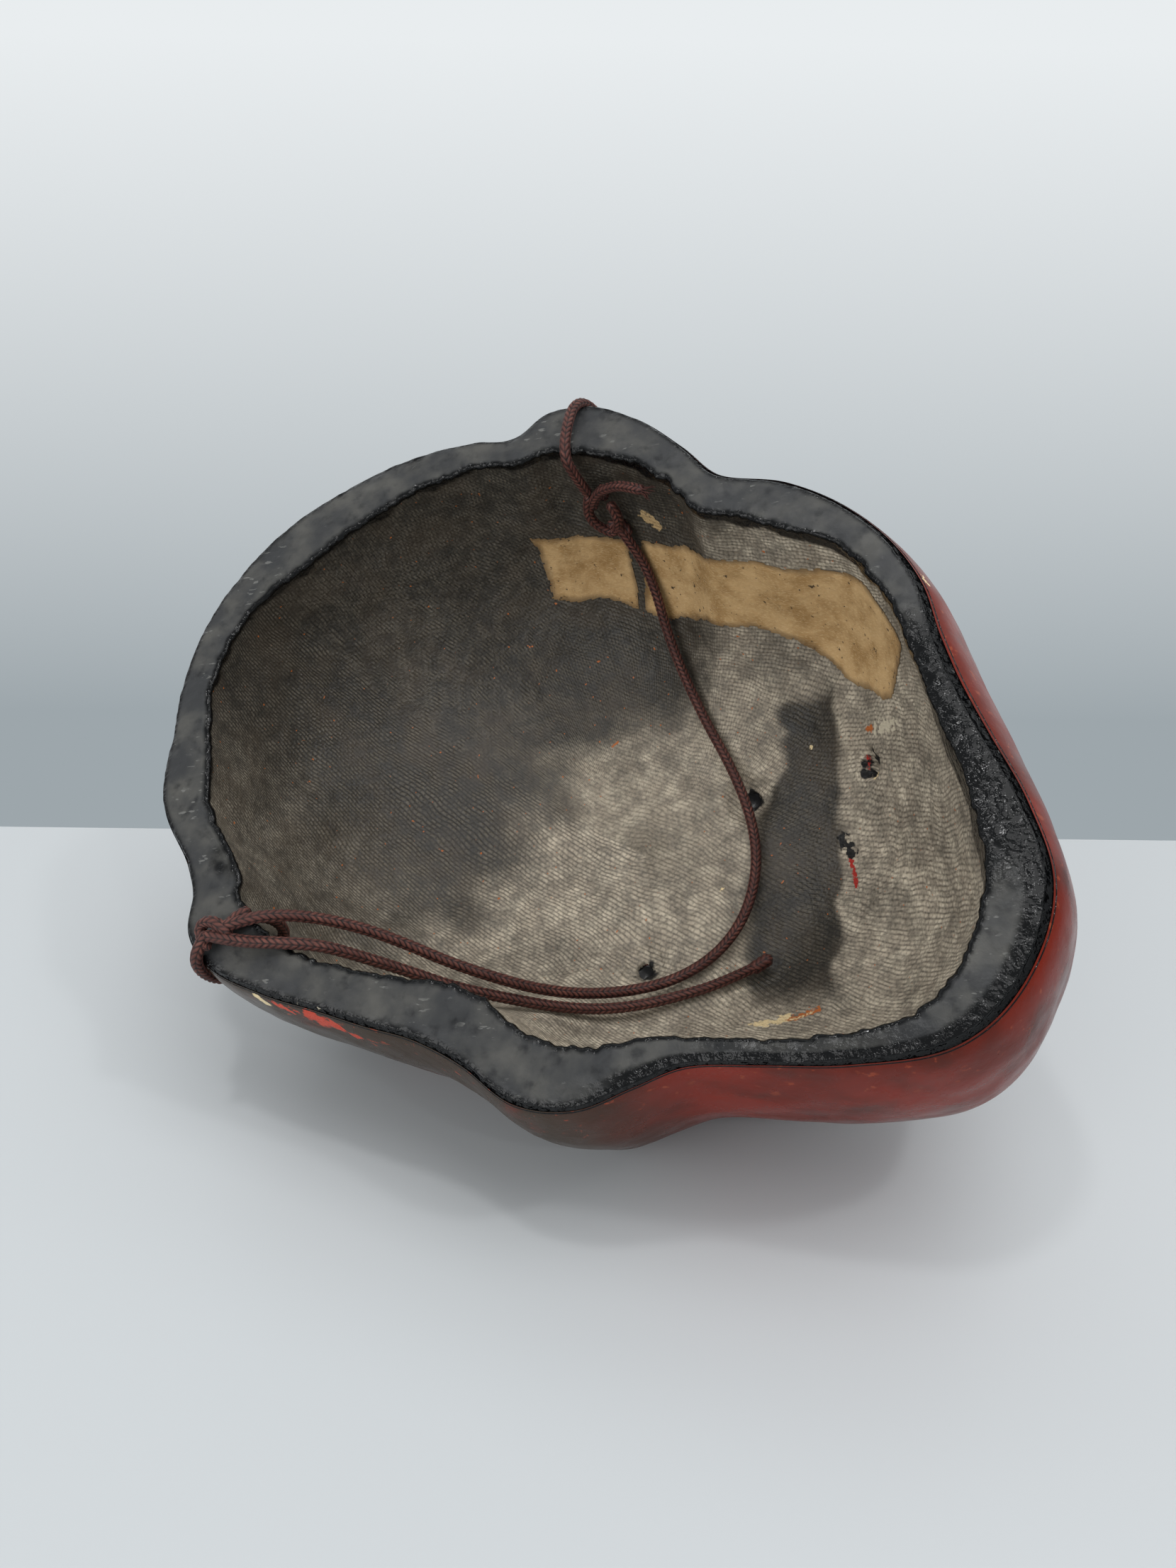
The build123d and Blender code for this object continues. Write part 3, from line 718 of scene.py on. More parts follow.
@dataclass(frozen=True)
class HempCloth(Finish):
    """Hemp cloth stuck down with dark lacquer: the crowns of its threads stand out and hold pale dust."""

    name: str = "lacquered_hemp"
    # Threads of such cloth are 0.8 to 1.2 mm thick; lacquer fills the gaps and dust dulls the crowns.
    thread_mm: float = 1.15
    stitch_mm: float = 1.9
    lacquer: str = "#191816"
    brown: str = "#2F2820"
    crown: str = "#5D574C"
    coat: str = "#070708"
    dust: str = "#B8AC99"
    pale: str = "#D6CAB4"

    def weave(self, tree: bpy.types.NodeTree, chart: str) -> bpy.types.NodeSocket:
        """Crowns of the threads on a bent chart.

        Threads lie side by side, thread apart, as |cos(pi x / thread)|, and each is crossed every stitch,
        half a stitch further on in the next one, as |cos(pi (y / stitch + round(x / thread) / 2))|.

        Args:
            tree: The material's node tree.
            chart: UV map that the cloth is laid out on, in metres.

        Returns:
            How far the thread stands out, from 0 to 1.
        """
        cloth = add(tree, "UVMap", uv_map=chart).outputs[0]
        for size_mm, shift_mm in ((46, 11.0), (8, 2.0), (2.4, 0.4)):
            noise = add(tree, "TexNoise", {"Vector": cloth, "Scale": 1 / (size_mm * MILLIMETRE), "Detail": 1.0})
            away = add(tree, "VectorMath", {0: noise.outputs["Color"], 1: (0.5, 0.5, 0.5)}, operation="SUBTRACT")
            shift = {0: away.outputs[0], "Scale": shift_mm * MILLIMETRE}
            away = add(tree, "VectorMath", shift, operation="SCALE")
            cloth = add(tree, "VectorMath", {0: cloth, 1: away.outputs[0]}, operation="ADD").outputs[0]
        parts = add(tree, "SeparateXYZ", {0: cloth})
        threads, stitches = 1 / (self.thread_mm * MILLIMETRE), 1 / (self.stitch_mm * MILLIMETRE)
        across = add(tree, "Math", {0: parts.outputs[0], 1: threads}, operation="MULTIPLY")
        thread = add(tree, "Math", {0: across.outputs[0]}, operation="ROUND").outputs[0]
        along = add(tree, "Math", {0: parts.outputs[1], 1: stitches}, operation="MULTIPLY")
        along = add(tree, "Math", {0: thread, 1: 0.5, 2: along.outputs[0]}, operation="MULTIPLY_ADD")
        waves = []
        for place in (across, along):
            angle = add(tree, "Math", {0: place.outputs[0], 1: math.pi}, operation="MULTIPLY").outputs[0]
            wave = add(tree, "Math", {0: angle}, operation="COSINE").outputs[0]
            waves.append(add(tree, "Math", {0: wave}, operation="ABSOLUTE").outputs[0])
        crossed = add(tree, "MapRange", {"Value": waves[1], "From Max": 0.7, "To Min": 0.35}).outputs[0]
        crown = add(tree, "MapRange", {"Value": waves[0], "From Min": 0.2, "From Max": 0.9}).outputs[0]
        return add(tree, "Math", {0: crown, 1: crossed}, operation="MULTIPLY", use_clamp=True).outputs[0]

    def surface(self, tree: bpy.types.NodeTree) -> bpy.types.NodeSocket:
        """Dark lacquer, brown here and there; crowns a little lighter; dust over both where it is marked.

        Args:
            tree: The material's node tree.

        Returns:
            The shader.
        """
        wall = add(tree, "Attribute", attribute_name="wall").outputs["Fac"]
        floor_crowns, wall_crowns = self.weave(tree, "floor"), self.weave(tree, "wall")
        crowns = add(tree, "Mix", {0: wall, 2: floor_crowns, 3: wall_crowns}).outputs[0]
        worn = self.spread(tree, 3.2, 0.3, 0.7, detail=5, seed=0.45)
        worn = add(tree, "MapRange", {"Value": worn, "To Min": 0.2, "To Max": 1.0}).outputs[0]
        crowns = add(tree, "Math", {0: crowns, 1: worn}, operation="MULTIPLY", use_clamp=True).outputs[0]
        lump = self.spread(tree, 0.8, 0.3, 0.7, detail=3, seed=0.1)
        rusty = self.spread(tree, 13, 0.4, 0.66, detail=5, seed=0.8)
        colour = self.layer(tree, self.lacquer, self.brown, rusty)
        colour = self.layer(tree, colour, self.crown, crowns, 0.7)
        dusty = add(tree, "Attribute", attribute_name="dust").outputs["Fac"]
        cloud = self.spread(tree, 9, 0.25, 0.75, detail=9, seed=0.4, stretch=(1, 0.55, 1))
        cloud = add(tree, "MapRange", {"Value": cloud, "To Min": 0.62, "To Max": 1.15}).outputs[0]
        share = add(tree, "Math", {0: dusty, 1: cloud}, operation="MULTIPLY", use_clamp=True).outputs[0]
        held = add(tree, "Math", {0: crowns, 1: 0.9, 2: 0.22}, operation="MULTIPLY_ADD").outputs[0]
        held = add(tree, "Math", {0: lump, 1: 0.3, 2: held}, operation="MULTIPLY_ADD").outputs[0]
        share = add(tree, "Math", {0: share, 1: held}, operation="MULTIPLY", use_clamp=True).outputs[0]
        powder = self.layer(tree, self.dust, self.pale, self.spread(tree, 5, 0.4, 0.7, seed=1.2))
        colour = self.layer(tree, colour, powder, share)
        flecks = self.spread(tree, 1.3, 0.762, 0.775, detail=1, seed=1.9)
        colour = self.layer(tree, colour, Wear.ORANGE.value, flecks)
        coat = add(tree, "Attribute", attribute_name="coat").outputs["Fac"]
        colour = self.spotted(tree, self.layer(tree, colour, self.coat, coat))
        rough = add(tree, "MapRange", {"Value": share, "To Min": 0.5, "To Max": 0.92}).outputs[0]
        rough = add(tree, "Mix", {0: coat, 2: rough, 3: 0.14}).outputs[0]
        relief = add(tree, "Math", {0: lump, 1: 0.4, 2: crowns}, operation="MULTIPLY_ADD").outputs[0]
        relief = add(tree, "Mix", {0: coat, 2: relief, 3: self.spread(tree, 2.0, 0.3, 0.8, detail=2, seed=0.6)})
        bump = add(tree, "Bump", {"Height": relief.outputs[0], "Strength": 0.8, "Distance": 0.3 * MILLIMETRE})
        shader = add(tree, "BsdfPrincipled", {
            "Base Color": colour, "Roughness": rough, "IOR": 1.5, "Normal": bump.outputs[0]})
        return shader.outputs[0]


@dataclass(frozen=True)
class Washi(Finish):
    """Old handmade paper pasted down: brown, fibrous and matte, darker at its edges and over bumps."""

    name: str = "washi"
    # Long fibres and size give an uneven brown without any shine.
    paper: str = "#C7A473"
    stain: str = "#A07C4C"
    fibre: str = "#DCC193"
    speck: str = "#4E3E2C"
    frayed: str = "#5B4730"

    def surface(self, tree: bpy.types.NodeTree) -> bpy.types.NodeSocket:
        """Brown paper with clouds of stain, fine fibres and the cloth's threads faintly through it.

        Args:
            tree: The material's node tree.

        Returns:
            The shader.
        """
        colour = self.layer(tree, self.paper, self.stain, self.spread(tree, 8, 0.35, 0.7, detail=5))
        fibres = self.spread(tree, 0.9, 0.45, 0.75, detail=4, stretch=(1, 1, 3))
        colour = self.layer(tree, colour, self.fibre, fibres, 0.5)
        specks = self.spread(tree, 1.6, 0.66, 0.74, detail=2, seed=0.5)
        colour = self.layer(tree, colour, self.speck, specks)
        edge = add(tree, "Attribute", attribute_name="edge").outputs["Fac"]
        colour = self.layer(tree, colour, self.frayed, edge, 0.7)
        relief = self.spread(tree, 1.7, 0.3, 0.8, detail=4, seed=0.8)
        bump = add(tree, "Bump", {"Height": relief, "Strength": 0.4, "Distance": 0.3 * MILLIMETRE})
        shader = add(tree, "BsdfPrincipled", {
            "Base Color": colour, "Roughness": 0.85, "IOR": 1.45, "Normal": bump.outputs[0]})
        return shader.outputs[0]


@dataclass(frozen=True)
class BraidedSilk(Finish):
    """Round braid dyed maroon, matte: a painted sheen on the top of each strand and painted shade in the gaps
    between strands.
    """

    name: str = "maroon_braid"
    # The silk fibres are finer than would show, so they are drawn 0.25 mm thick.
    strand: str = "#532D26"
    # The gap colour is painted shade between the strands.
    gap: str = "#0E0605"
    # The light colour is a painted sheen on the tops of the strands.
    light: str = "#74463B"

    def surface(self, tree: bpy.types.NodeTree) -> bpy.types.NodeSocket:
        """Colour from the height of the braid, painted shade where it is low and a painted sheen where it is
        high, with fibres along the strands.

        Args:
            tree: The material's node tree.

        Returns:
            The shader.
        """
        height = add(tree, "Attribute", attribute_name="height").outputs["Fac"]
        raised = add(tree, "MapRange", {"Value": height, "From Min": 0.3, "From Max": 0.85}).outputs[0]
        top = add(tree, "MapRange", {"Value": height, "From Min": 0.7}).outputs[0]
        # Low places take the gap colour as painted shade, and the tops the light colour as a painted sheen.
        colour = self.layer(tree, self.gap, self.strand, raised)
        colour = self.layer(tree, colour, self.light, self.spread(tree, 4, 0.4, 0.7), top)
        fibres = self.spread(tree, 0.25, 0.3, 0.7, detail=2)
        bump = add(tree, "Bump", {"Height": fibres, "Strength": 0.3, "Distance": 0.08 * MILLIMETRE})
        shader = add(tree, "BsdfPrincipled", {
            "Base Color": colour, "Roughness": 0.6, "IOR": 1.5, "Specular IOR Level": 0.35,
            "Normal": bump.outputs[0], "Sheen Weight": 0.06, "Sheen Roughness": 0.4})
        return shader.outputs[0]


@dataclass(frozen=True)
class AgedGilding(Finish):
    """Gilt copper eye plates: dull gold with brown tarnish."""

    name: str = "aged_gilding"
    # Mercury gilding wears to a dull gold, and the copper below browns it in patches.
    gold: str = "#B98E42"
    tarnish: str = "#5A4021"

    def surface(self, tree: bpy.types.NodeTree) -> bpy.types.NodeSocket:
        """Gold metal with tarnish in patches.

        Args:
            tree: The material's node tree.

        Returns:
            The shader.
        """
        colour = self.layer(tree, self.gold, self.tarnish, self.spread(tree, 2.5, 0.4, 0.7))
        rough = add(tree, "MapRange", {"Value": self.spread(tree, 2, 0.3, 0.8), "To Min": 0.25, "To Max": 0.55})
        shader = add(tree, "BsdfPrincipled", {
            "Base Color": colour, "Metallic": 1.0, "Roughness": rough.outputs[0]})
        return shader.outputs[0]


# ---- the carved body, its rim and its lining --------------------------------------------------------

@dataclass
class CarvedBody:
    """The wooden wall, red outside: a fine grid over the outer bowl, with its eyes, nostrils and piercings."""

    form: MaskForm
    place: Placement
    columns: int = 640
    rows: int = 148
    first_turn: float = 0.5
    cord_hole_turn: float = 9.6
    facet: float = 0.25
    tool_mark: float = 0.06
    inner_point: Point = (0, 20, 30)

    def holes(self) -> list[Hole]:
        """Pupils below the eye plates, nostrils, piercings beside the mouth and the two cord holes.

        Returns:
            The holes, each sunk from the outside.
        """
        found = []
        for u, v, radius in ((29.0, 31.0, 4.4), (13.0, 69.0, 2.4), (50.0, 68.0, 2.0)):
            for side in (-1, 1):
                found.append(Hole(self.on_face(side * u, v), radius, inward=(0, 0, -1)))
        for angle in (-113.0, 114.0):
            skin = self.form.outer(np.array(self.cord_hole_turn), np.array(angle))
            found.append(Hole(tuple(skin), 2.2, inward=at(angle, -1, 0), depth=5))
        return found

    def on_face(self, u: float, v: float) -> Point:
        """Point of the outside at (u, v), found by halving the turn.

        Args:
            u: Place across the face, in millimetres.
            v: Place down the face.

        Returns:
            The point.
        """
        low, high = 0.0, 90.0
        for _ in range(40):
            turn = (low + high) / 2
            drop = self.form.centre_drop * math.sin(math.radians(turn)) ** 3
            found = self.form.outer(np.array(turn), np.array(math.degrees(math.atan2(u, v - drop))))
            if math.hypot(found[0], found[1] - drop) > math.hypot(u, v - drop):
                low = turn
            else:
                high = turn
        return float(found[0]), float(found[1]), float(found[2])

    def worn_places(self) -> list[Spot]:
        """Chips to the pale ground along the edge of the cheek and the chin, and painted shade in each hole.

        Returns:
            The worn places, in mask millimetres.
        """
        spots = [
            Spot((-87.6, -19.0, 3.8), 1.7, Wear.GROUND, along=(0.4, 0.9, 1.0), ragged=0.3),
            Spot((-85.0, -5.2, 3.8), 1.5, Wear.GROUND, along=(0.3, 0.7, 1.0), ragged=0.3),
            Spot((69.6, 62.8, 3.0), 1.4, Wear.GROUND, along=(-0.6, 1.0, 0.3)),
            Spot((55.8, 74.2, 3.0), 1.2, Wear.GROUND),
            Spot((-84.6, -0.5, 6.0), 4.6, Wear.EMBER, along=(-0.6, 4.2, 1.5), ragged=0.7),
            Spot((-86.4, -11.0, 4.0), 2.2, Wear.EMBER, along=(0.4, 4.0, 1.0), ragged=0.9),
            Spot((-80.0, -52.0, 3.0), 1.1, Wear.ORANGE, along=(1.0, -2.5, 0.3)),
        ]
        # Each hole is painted near black along its depth: painted shade.
        spots += [Spot(hole.place, hole.radius * 1.15, Wear.DARK, ragged=0.2,
                       along=tuple(np.array(hole.inward) * hole.depth)) for hole in self.holes()]
        return spots

    def build(self) -> bpy.types.Object:
        """Outside from just behind the rim's edge to the middle of the face, closed there by a point.

        Returns:
            The carved wood, marked where its edge is rubbed and where it is soiled.
        """
        turn, angle = self.form.grid(self.rows, self.columns, self.first_turn, self.form.face_depth)
        points = self.form.outer(turn, angle)
        middle = self.form.outer(np.array((90.0,)), np.array((0.0,)))
        # Hand carving leaves broad shallow facets and fine tool marks, except on the edge itself.
        uneven = ripples(points, 22, 3) * self.facet + ripples(points, 7, 4) * self.tool_mark
        inward = unit(np.array(self.inner_point) - points)
        points = points + inward * (uneven * smooth_step(turn, 2, 14))[..., None]
        # Steps of the turn and the angle, in degrees: the edge is rubbed, the ears and the brow are soiled.
        edge = smooth_step(-turn - 2.0 * ripples(points, 9, 5), -9, -4)
        ears = smooth_step(-np.abs(angle + 92), -58, -36) * smooth_step(-turn, -58, -26)
        brow = smooth_step(-points[..., 1], 0, 50)
        for hole in self.holes():
            points = hole.sink(points)
        marks = {"edge": edge, "soil": np.clip(ears + 0.55 * brow, 0, 1)}
        quads, fan = bowl_faces(self.rows, self.columns)
        piece = make_piece("carved_wood", self.place.lay(np.concatenate((points.reshape(-1, 3), middle))),
                           [quads, fan],
                           marks={name: np.append(mark, 0) for name, mark in marks.items()})
        dress(piece, RedLacquer(spots=self.place.spots(self.worn_places())).material())
        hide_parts("carved_shell")
        return piece


@dataclass
class RimCoat:
    """Black lacquered band on the back of the rim, rounded over both edges, hand-shaped."""

    form: MaskForm
    place: Placement
    columns: int = 1500
    coat: float = 1.2
    outer_round: float = 0.7
    lip_round: float = 0.9
    across: int = 18
    crown: float = 0.25
    side_turn: float = 0.75
    proud: float = 0.12
    tuck: float = 1.8

    def profile(self, angle: np.ndarray) -> tuple[np.ndarray, np.ndarray]:
        """Section of the band: side, rounded outer edge, crowned back, rounded lip and underside.

        Each edge is an arc, radius (cos t, 1 - sin t), and the back rises by crown sin(pi share).  The
        outer edge is knocked in and the lip is ragged, by ripples along the rim.

        Args:
            angle: Angles round the rim, in degrees.

        Returns:
            Distance from the middle and depth, row by row of the section, at each angle.
        """
        outer, inner = self.form.rim_edges(angle)
        turned = np.radians(angle)
        along = np.stack((np.sin(turned) * outer, np.cos(turned) * outer, 0 * outer), axis=-1)
        ragged = ripples(along, 6, 11) * 0.28 + ripples(along, 2.1, 12) * 0.14
        knocks = np.clip(ripples(along, 8, 15) * 0.14 + ripples(along, 2.6, 16) * 0.07, 0, 1)
        side = self.form.outer(np.full_like(angle, self.side_turn), angle)
        rows = [(np.hypot(side[:, 0], side[:, 1]) + self.proud, side[:, 2])]
        radius = self.outer_round
        for turn in np.radians((0, 22, 45, 68, 90)):
            rows.append((outer - radius + radius * math.cos(turn) - knocks, radius - radius * math.sin(turn)))
        start, end = outer - radius, inner + self.lip_round + ragged
        for share in np.linspace(0, 1, self.across + 2)[1:-1]:
            rows.append((start + (end - start) * share, -self.crown * math.sin(math.pi * share)))
        radius = self.lip_round
        for turn in np.radians((90, 65, 40, 15, -10, -40, -90)):
            rows.append((end - radius * math.cos(turn), radius - radius * math.sin(turn)))
        rows.append((inner + self.tuck, self.coat + 0.4))
        return np.array([reach for reach, _ in rows]), np.array([depth + 0 * outer for _, depth in rows])

    @staticmethod
    def gloss(angle: np.ndarray, rows: int) -> np.ndarray:
        """Where the band shines: round both edges, more widely below the chin, and right across at the jaw.

        Args:
            angle: Angles round the rim, in degrees.
            rows: How many rows the section has.

        Returns:
            A number from 0 to 1, rows by angles.
        """
        # Steps of the angle, in degrees, and of the share of the way across, from the outer edge to the lip.
        across = np.linspace(0, 1, rows)[:, None]
        jaw = smooth_step(-np.abs(angle - 24), -22, -14) + 0.5 * smooth_step(-np.abs(angle + 22), -14, -6)
        edge = smooth_step(-np.abs(angle + 16), -36, -26) * smooth_step(-across, -0.42, -0.3)
        outside = smooth_step(-across, -0.24, -0.14)
        lip = smooth_step(across, 0.71, 0.78)
        return np.clip(jaw + edge + outside + lip, 0, 1)

    def build(self) -> bpy.types.Object:
        """The section carried round the rim, with brush marks on its back.

        Returns:
            The black band, marked where it shines.
        """
        angle = self.form.even_angles(self.columns)
        reach, depth = self.profile(angle)
        points = np.stack((reach * np.sin(np.radians(angle)), reach * np.cos(np.radians(angle)), depth), axis=-1)
        points[3:-4, :, 2] += (ripples(points, 13, 13) * 0.16 + ripples(points, 4, 14) * 0.07)[3:-4]
        spots = [Spot((-81.9, -3.0, 0.3), 0.7, Wear.FIBRE), Spot((-83.6, -8.5, 0.6), 0.5, Wear.FIBRE)]
        rows = len(reach)
        piece = make_piece("rim_coat", self.place.lay(points).reshape(-1, 3),
                           [sheet_faces(rows, self.columns, True)[:, ::-1]],
                           marks={"gloss": self.gloss(angle, rows)})
        dress(piece, BlackLacquer(spots=self.place.spots(spots)).material())
        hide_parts("rim_lacquer")
        return piece


# How far down from the lip the black coat runs over the cloth, by stations round the rim.
COAT_WIDTH = (
    (-170, 1.5), (-140, 1.2), (-110, 1.5), (-80, 1.0), (-50, 1.2), (-28, 2.0), (-12, 4.5), (2, 10.5),
    (12, 12.5), (24, 9.5), (36, 8.5), (46, 5.0), (60, 3.5), (76, 3.5), (92, 4.0), (112, 2.5), (140, 2.0),
)


@dataclass
class HempLining:
    """Cloth lining of the hollow, carried down to the middle of the face, with its holes and torn places."""

    form: MaskForm
    place: Placement
    columns: int = 560
    rows: int = 172
    first_turn: float = 0.8
    inner_point: Point = (0, 20, 10)

    def surface(self, turn: np.ndarray, angle: np.ndarray) -> np.ndarray:
        """The cavity, moved inward by ripples for the carving below the cloth and its laps.

        Args:
            turn: Turns in degrees, 0 at the rim and 90 in the middle.
            angle: Angles round the rim, in degrees.

        Returns:
            The points, in mask millimetres.
        """
        points = self.form.cavity(turn, angle, self.form.rim_overhang)
        uneven = ripples(points, 30, 21) * 0.5 + ripples(points, 12, 22) * 0.2 + ripples(points, 4.5, 23) * 0.07
        inward = unit(np.array(self.inner_point) - points)
        return points + inward * (uneven * smooth_step(turn, 1, 10))[..., None]

    @staticmethod
    def holes() -> list[Hole]:
        """Shallow craters round the sight holes, the sight holes, the nostrils and the torn piercings.

        Returns:
            The holes, each sunk from the hollow.
        """
        found = [Hole((side * 28.5, 30.0, 72.5), 6.4, (0, 0, 1), depth=0.9, edge=0.3) for side in (-1, 1)]
        found += [Hole((side * 28.5, 30.0, 72.5), 2.1, (0.15 * side, 0, 1), depth=8) for side in (-1, 1)]
        found += [Hole((side * 22.5, 64.5, 71.0), 1.3, (-0.4 * side, 0.2, 1), depth=5) for side in (-1, 1)]
        found += [Hole((44.5, 60.4, 52.0), 3.8, (0.5, 0.6, 0.6), depth=2.2, edge=0.35)]
        found += [Hole((44.5, 60.4, 53.0), 1.6, (0.3, 0.5, 0.8), depth=5)]
        found += [Hole((-45.0, 60.0, 51.5), 1.9, (-0.3, 0.5, 0.8), depth=5)]
        return found

    @staticmethod
    def torn_places() -> list[Spot]:
        """Where the cloth is torn to its ground or rubbed to the thread, and painted shade in its holes and torn
        places.

        Returns:
            The worn places, in mask millimetres.
        """
        return [
            # The near-black spots are painted shade in the sight holes, the nostrils, the piercing and a torn
            # place.
            Spot((-28.5, 30.0, 76.0), 4.6, Wear.DARK, along=(0, 0, 4), ragged=0.6),
            Spot((28.5, 30.0, 76.0), 4.4, Wear.DARK, along=(0, 0, 4), ragged=0.6),
            Spot((-22.5, 64.5, 73.0), 1.8, Wear.DARK, along=(0, 0, 2)),
            Spot((22.5, 64.5, 73.0), 1.8, Wear.DARK, along=(0, 0, 2)),
            Spot((-33.5, 31.0, 72.5), 1.1, Wear.FIBRE, along=(0.6, 2.6, 0.2), ragged=0.7),
            Spot((-25.0, 68.2, 65.0), 3.0, Wear.GROUND, along=(-3.0, -2.6, 0.2), ragged=0.7),
            Spot((-19.5, 74.6, 64.4), 1.8, Wear.ORANGE, along=(-2.6, -2.4, 0.4), ragged=0.7),
            Spot((-20.6, 74.0, 64.4), 1.0, Wear.GROUND, along=(-3.6, -3.4, 0.4), ragged=0.7),
            Spot((44.5, 60.4, 52.5), 4.0, Wear.DARK, along=(0.8, 0.6, -1.5), ragged=0.6),
            Spot((45.0, 58.6, 53.6), 1.2, Wear.RED, along=(0.8, -0.6, -0.6), ragged=0.6),
            Spot((42.6, 62.4, 53.5), 1.1, Wear.GROUND, along=(0.6, 0.5, -0.4), ragged=0.7),
            Spot((50.6, 57.0, 45.8), 1.5, Wear.ORANGE, along=(0.2, 1.0, -0.6), ragged=0.7),
            Spot((50.0, 62.0, 39.0), 2.4, Wear.FIBRE, along=(0.4, 3.6, -4.0), ragged=0.8),
            Spot((20.4, 66.6, 66.4), 1.2, Wear.RED, along=(-3.0, 2.4, 0.3), ragged=0.9),
            Spot((26.0, 62.0, 65.6), 2.6, Wear.DARK, along=(1.6, -2.0, 0.2), ragged=0.8),
            Spot((72.2, -19.3, 23.3), 3.4, Wear.TAN, along=(0.2, 2.0, 1.0), ragged=0.8),
            Spot((26.0, -15.4, 71.5), 0.55, Wear.ORANGE, along=(1.0, 0.4, 0)),
            Spot((45.6, 40.5, 61.0), 0.8, Wear.GROUND),
            Spot((41.5, 41.5, 64.0), 0.8, Wear.ORANGE),
            Spot((6.2, 52.5, 76.0), 0.6, Wear.GROUND),
            Spot((1.4, 36.3, 72.5), 0.8, Wear.GROUND, along=(0.6, 0.2, 0)),
        ]

    @staticmethod
    def dust(points: np.ndarray) -> np.ndarray:
        """Where dust lies, in bells and steps of the place.

        It is thick on the chin's side of a line across the eyes, thin on the forehead, and swept out of
        a band from the sight hole across the hollow behind the nose.

        Args:
            points: Points of the cloth, in mask millimetres.

        Returns:
            How thick it is at each, from 0 to 1.
        """
        u, v = points[..., 0], points[..., 1]
        line = -21 + 27 * smooth_step(u, 10, 58) + 3.5 * ripples(points, 16, 24)
        lying = 0.07 + 0.92 * smooth_step(v - line, -12, 12)
        lying = lying + 0.2 * mound(u, v, -8, 15, 12, 9)
        # The swept band starts at (48, 38) and runs at -62 degrees, towards the cheek on the table.
        across = 0.471 * (u - 48) + 0.882 * (v - 38) + 1.2 * ripples(points, 9, 29)
        along = -0.882 * (u - 48) + 0.471 * (v - 38)
        near = 5 + 9 * smooth_step(along, 5, 22)
        swept = smooth_step(-across, -10.5, -7.5) * smooth_step(across + near, -4, 1)
        swept = swept * smooth_step(along, -11, -5) * smooth_step(-along, -78, -66)
        swept = np.maximum(swept, smooth_step(mound(u, v, 50.5, 35, 4.5, 9), 0.3, 0.7))
        lying = lying - 0.94 * swept
        lying = lying - 0.3 * mound(u, v, 60, 20, 9, 14)
        lying = lying - 0.25 * mound(u, v, -52, 0, 12, 16)
        lying = lying + 0.22 * smooth_step(-u, 20, 60) * smooth_step(-v, 5, 30)
        lying = lying + 0.10 * ripples(points, 14, 25) * smooth_step(lying, 0.15, 0.5)
        return np.clip(lying, 0.04, 1)

    def charts(self, points: np.ndarray, corners: np.ndarray) -> dict[str, np.ndarray]:
        """Two flat layouts of the cloth, in metres, for each corner of each face.

        The floor chart is polar, by length along the surface from the middle.  The wall chart has the
        length round a ring part of the way down across, and the length from the middle along.

        Args:
            points: The grid of the surface, rows by columns.
            corners: Vertex number of each corner, the middle point being the last.

        Returns:
            The two charts by name.
        """
        rows, columns = points.shape[:2]
        steps = np.linalg.norm(np.diff(points, axis=0), axis=-1)
        inner = np.concatenate((np.cumsum(steps[::-1], axis=0)[::-1], np.zeros((1, columns))))
        angle = np.radians(MaskForm.even_angles(columns))
        floor = np.stack((inner * np.sin(angle), inner * np.cos(angle)), axis=-1).reshape(-1, 2)
        ring = points[rows // 4]
        run = np.concatenate(((0,), np.cumsum(np.linalg.norm(np.roll(ring, -1, axis=0) - ring, axis=-1))))
        wall = np.stack((np.broadcast_to(run[:-1], inner.shape), inner), axis=-1).reshape(-1, 2)
        middle = np.zeros((1, 2))
        floor, wall = (np.concatenate((chart, middle))[corners] for chart in (floor, wall))
        # Faces that close the ring read their last column a full round further on.
        quads = (rows - 1) * columns * 4
        column = (corners % columns)[:quads].reshape(-1, 4)
        crossing = (column == 0) & (column.max(axis=1) == columns - 1)[:, None]
        wall[:quads, 0] += np.where(crossing.ravel(), run[-1], 0)
        return {"floor": floor * MILLIMETRE, "wall": wall * MILLIMETRE}

    def build(self) -> tuple[bpy.types.Object, BVHTree]:
        """The cloth and its marks: dust, the part of the wall chart, and the black coat below the rim.

        Returns:
            The cloth, and a tree of its faces for what is pasted on it.
        """
        turn, angle = self.form.grid(self.rows, self.columns, self.first_turn, self.form.cavity_depth)
        points = self.surface(turn, angle)
        middle = self.surface(np.array((90.0,)), np.array((0.0,)))
        quads, fan = bowl_faces(self.rows, self.columns)
        quads, fan = quads[:, ::-1], fan[:, ::-1]
        steep = 1 - smooth_step(turn + 3.0 * ripples(points, 15, 26), 38, 40)
        charts = self.charts(points, np.concatenate((quads.ravel(), fan.ravel())))
        for hole in self.holes():
            points = hole.sink(points)
        from_rim = np.concatenate((np.zeros((1, self.columns)),
                                   np.cumsum(np.linalg.norm(np.diff(points, axis=0), axis=-1), axis=0)))
        band = around(COAT_WIDTH, angle) + 0.9 * ripples(points, 11, 27) + 0.35 * ripples(points, 3, 28)
        marks = {"dust": self.dust(points), "wall": steep, "coat": smooth_step(band - from_rim, -0.25, 0.25)}
        laid = self.place.lay(np.concatenate((points.reshape(-1, 3), middle)))
        piece = make_piece("hemp_cloth", laid, [quads, fan], charts=charts,
                           marks={name: np.append(mark, mark[-1, 0]) for name, mark in marks.items()})
        dress(piece, HempCloth(spots=self.place.spots(self.torn_places())).material())
        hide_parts("hemp_lining")
        return piece, BVHTree.FromPolygons(laid.tolist(), quads.tolist())


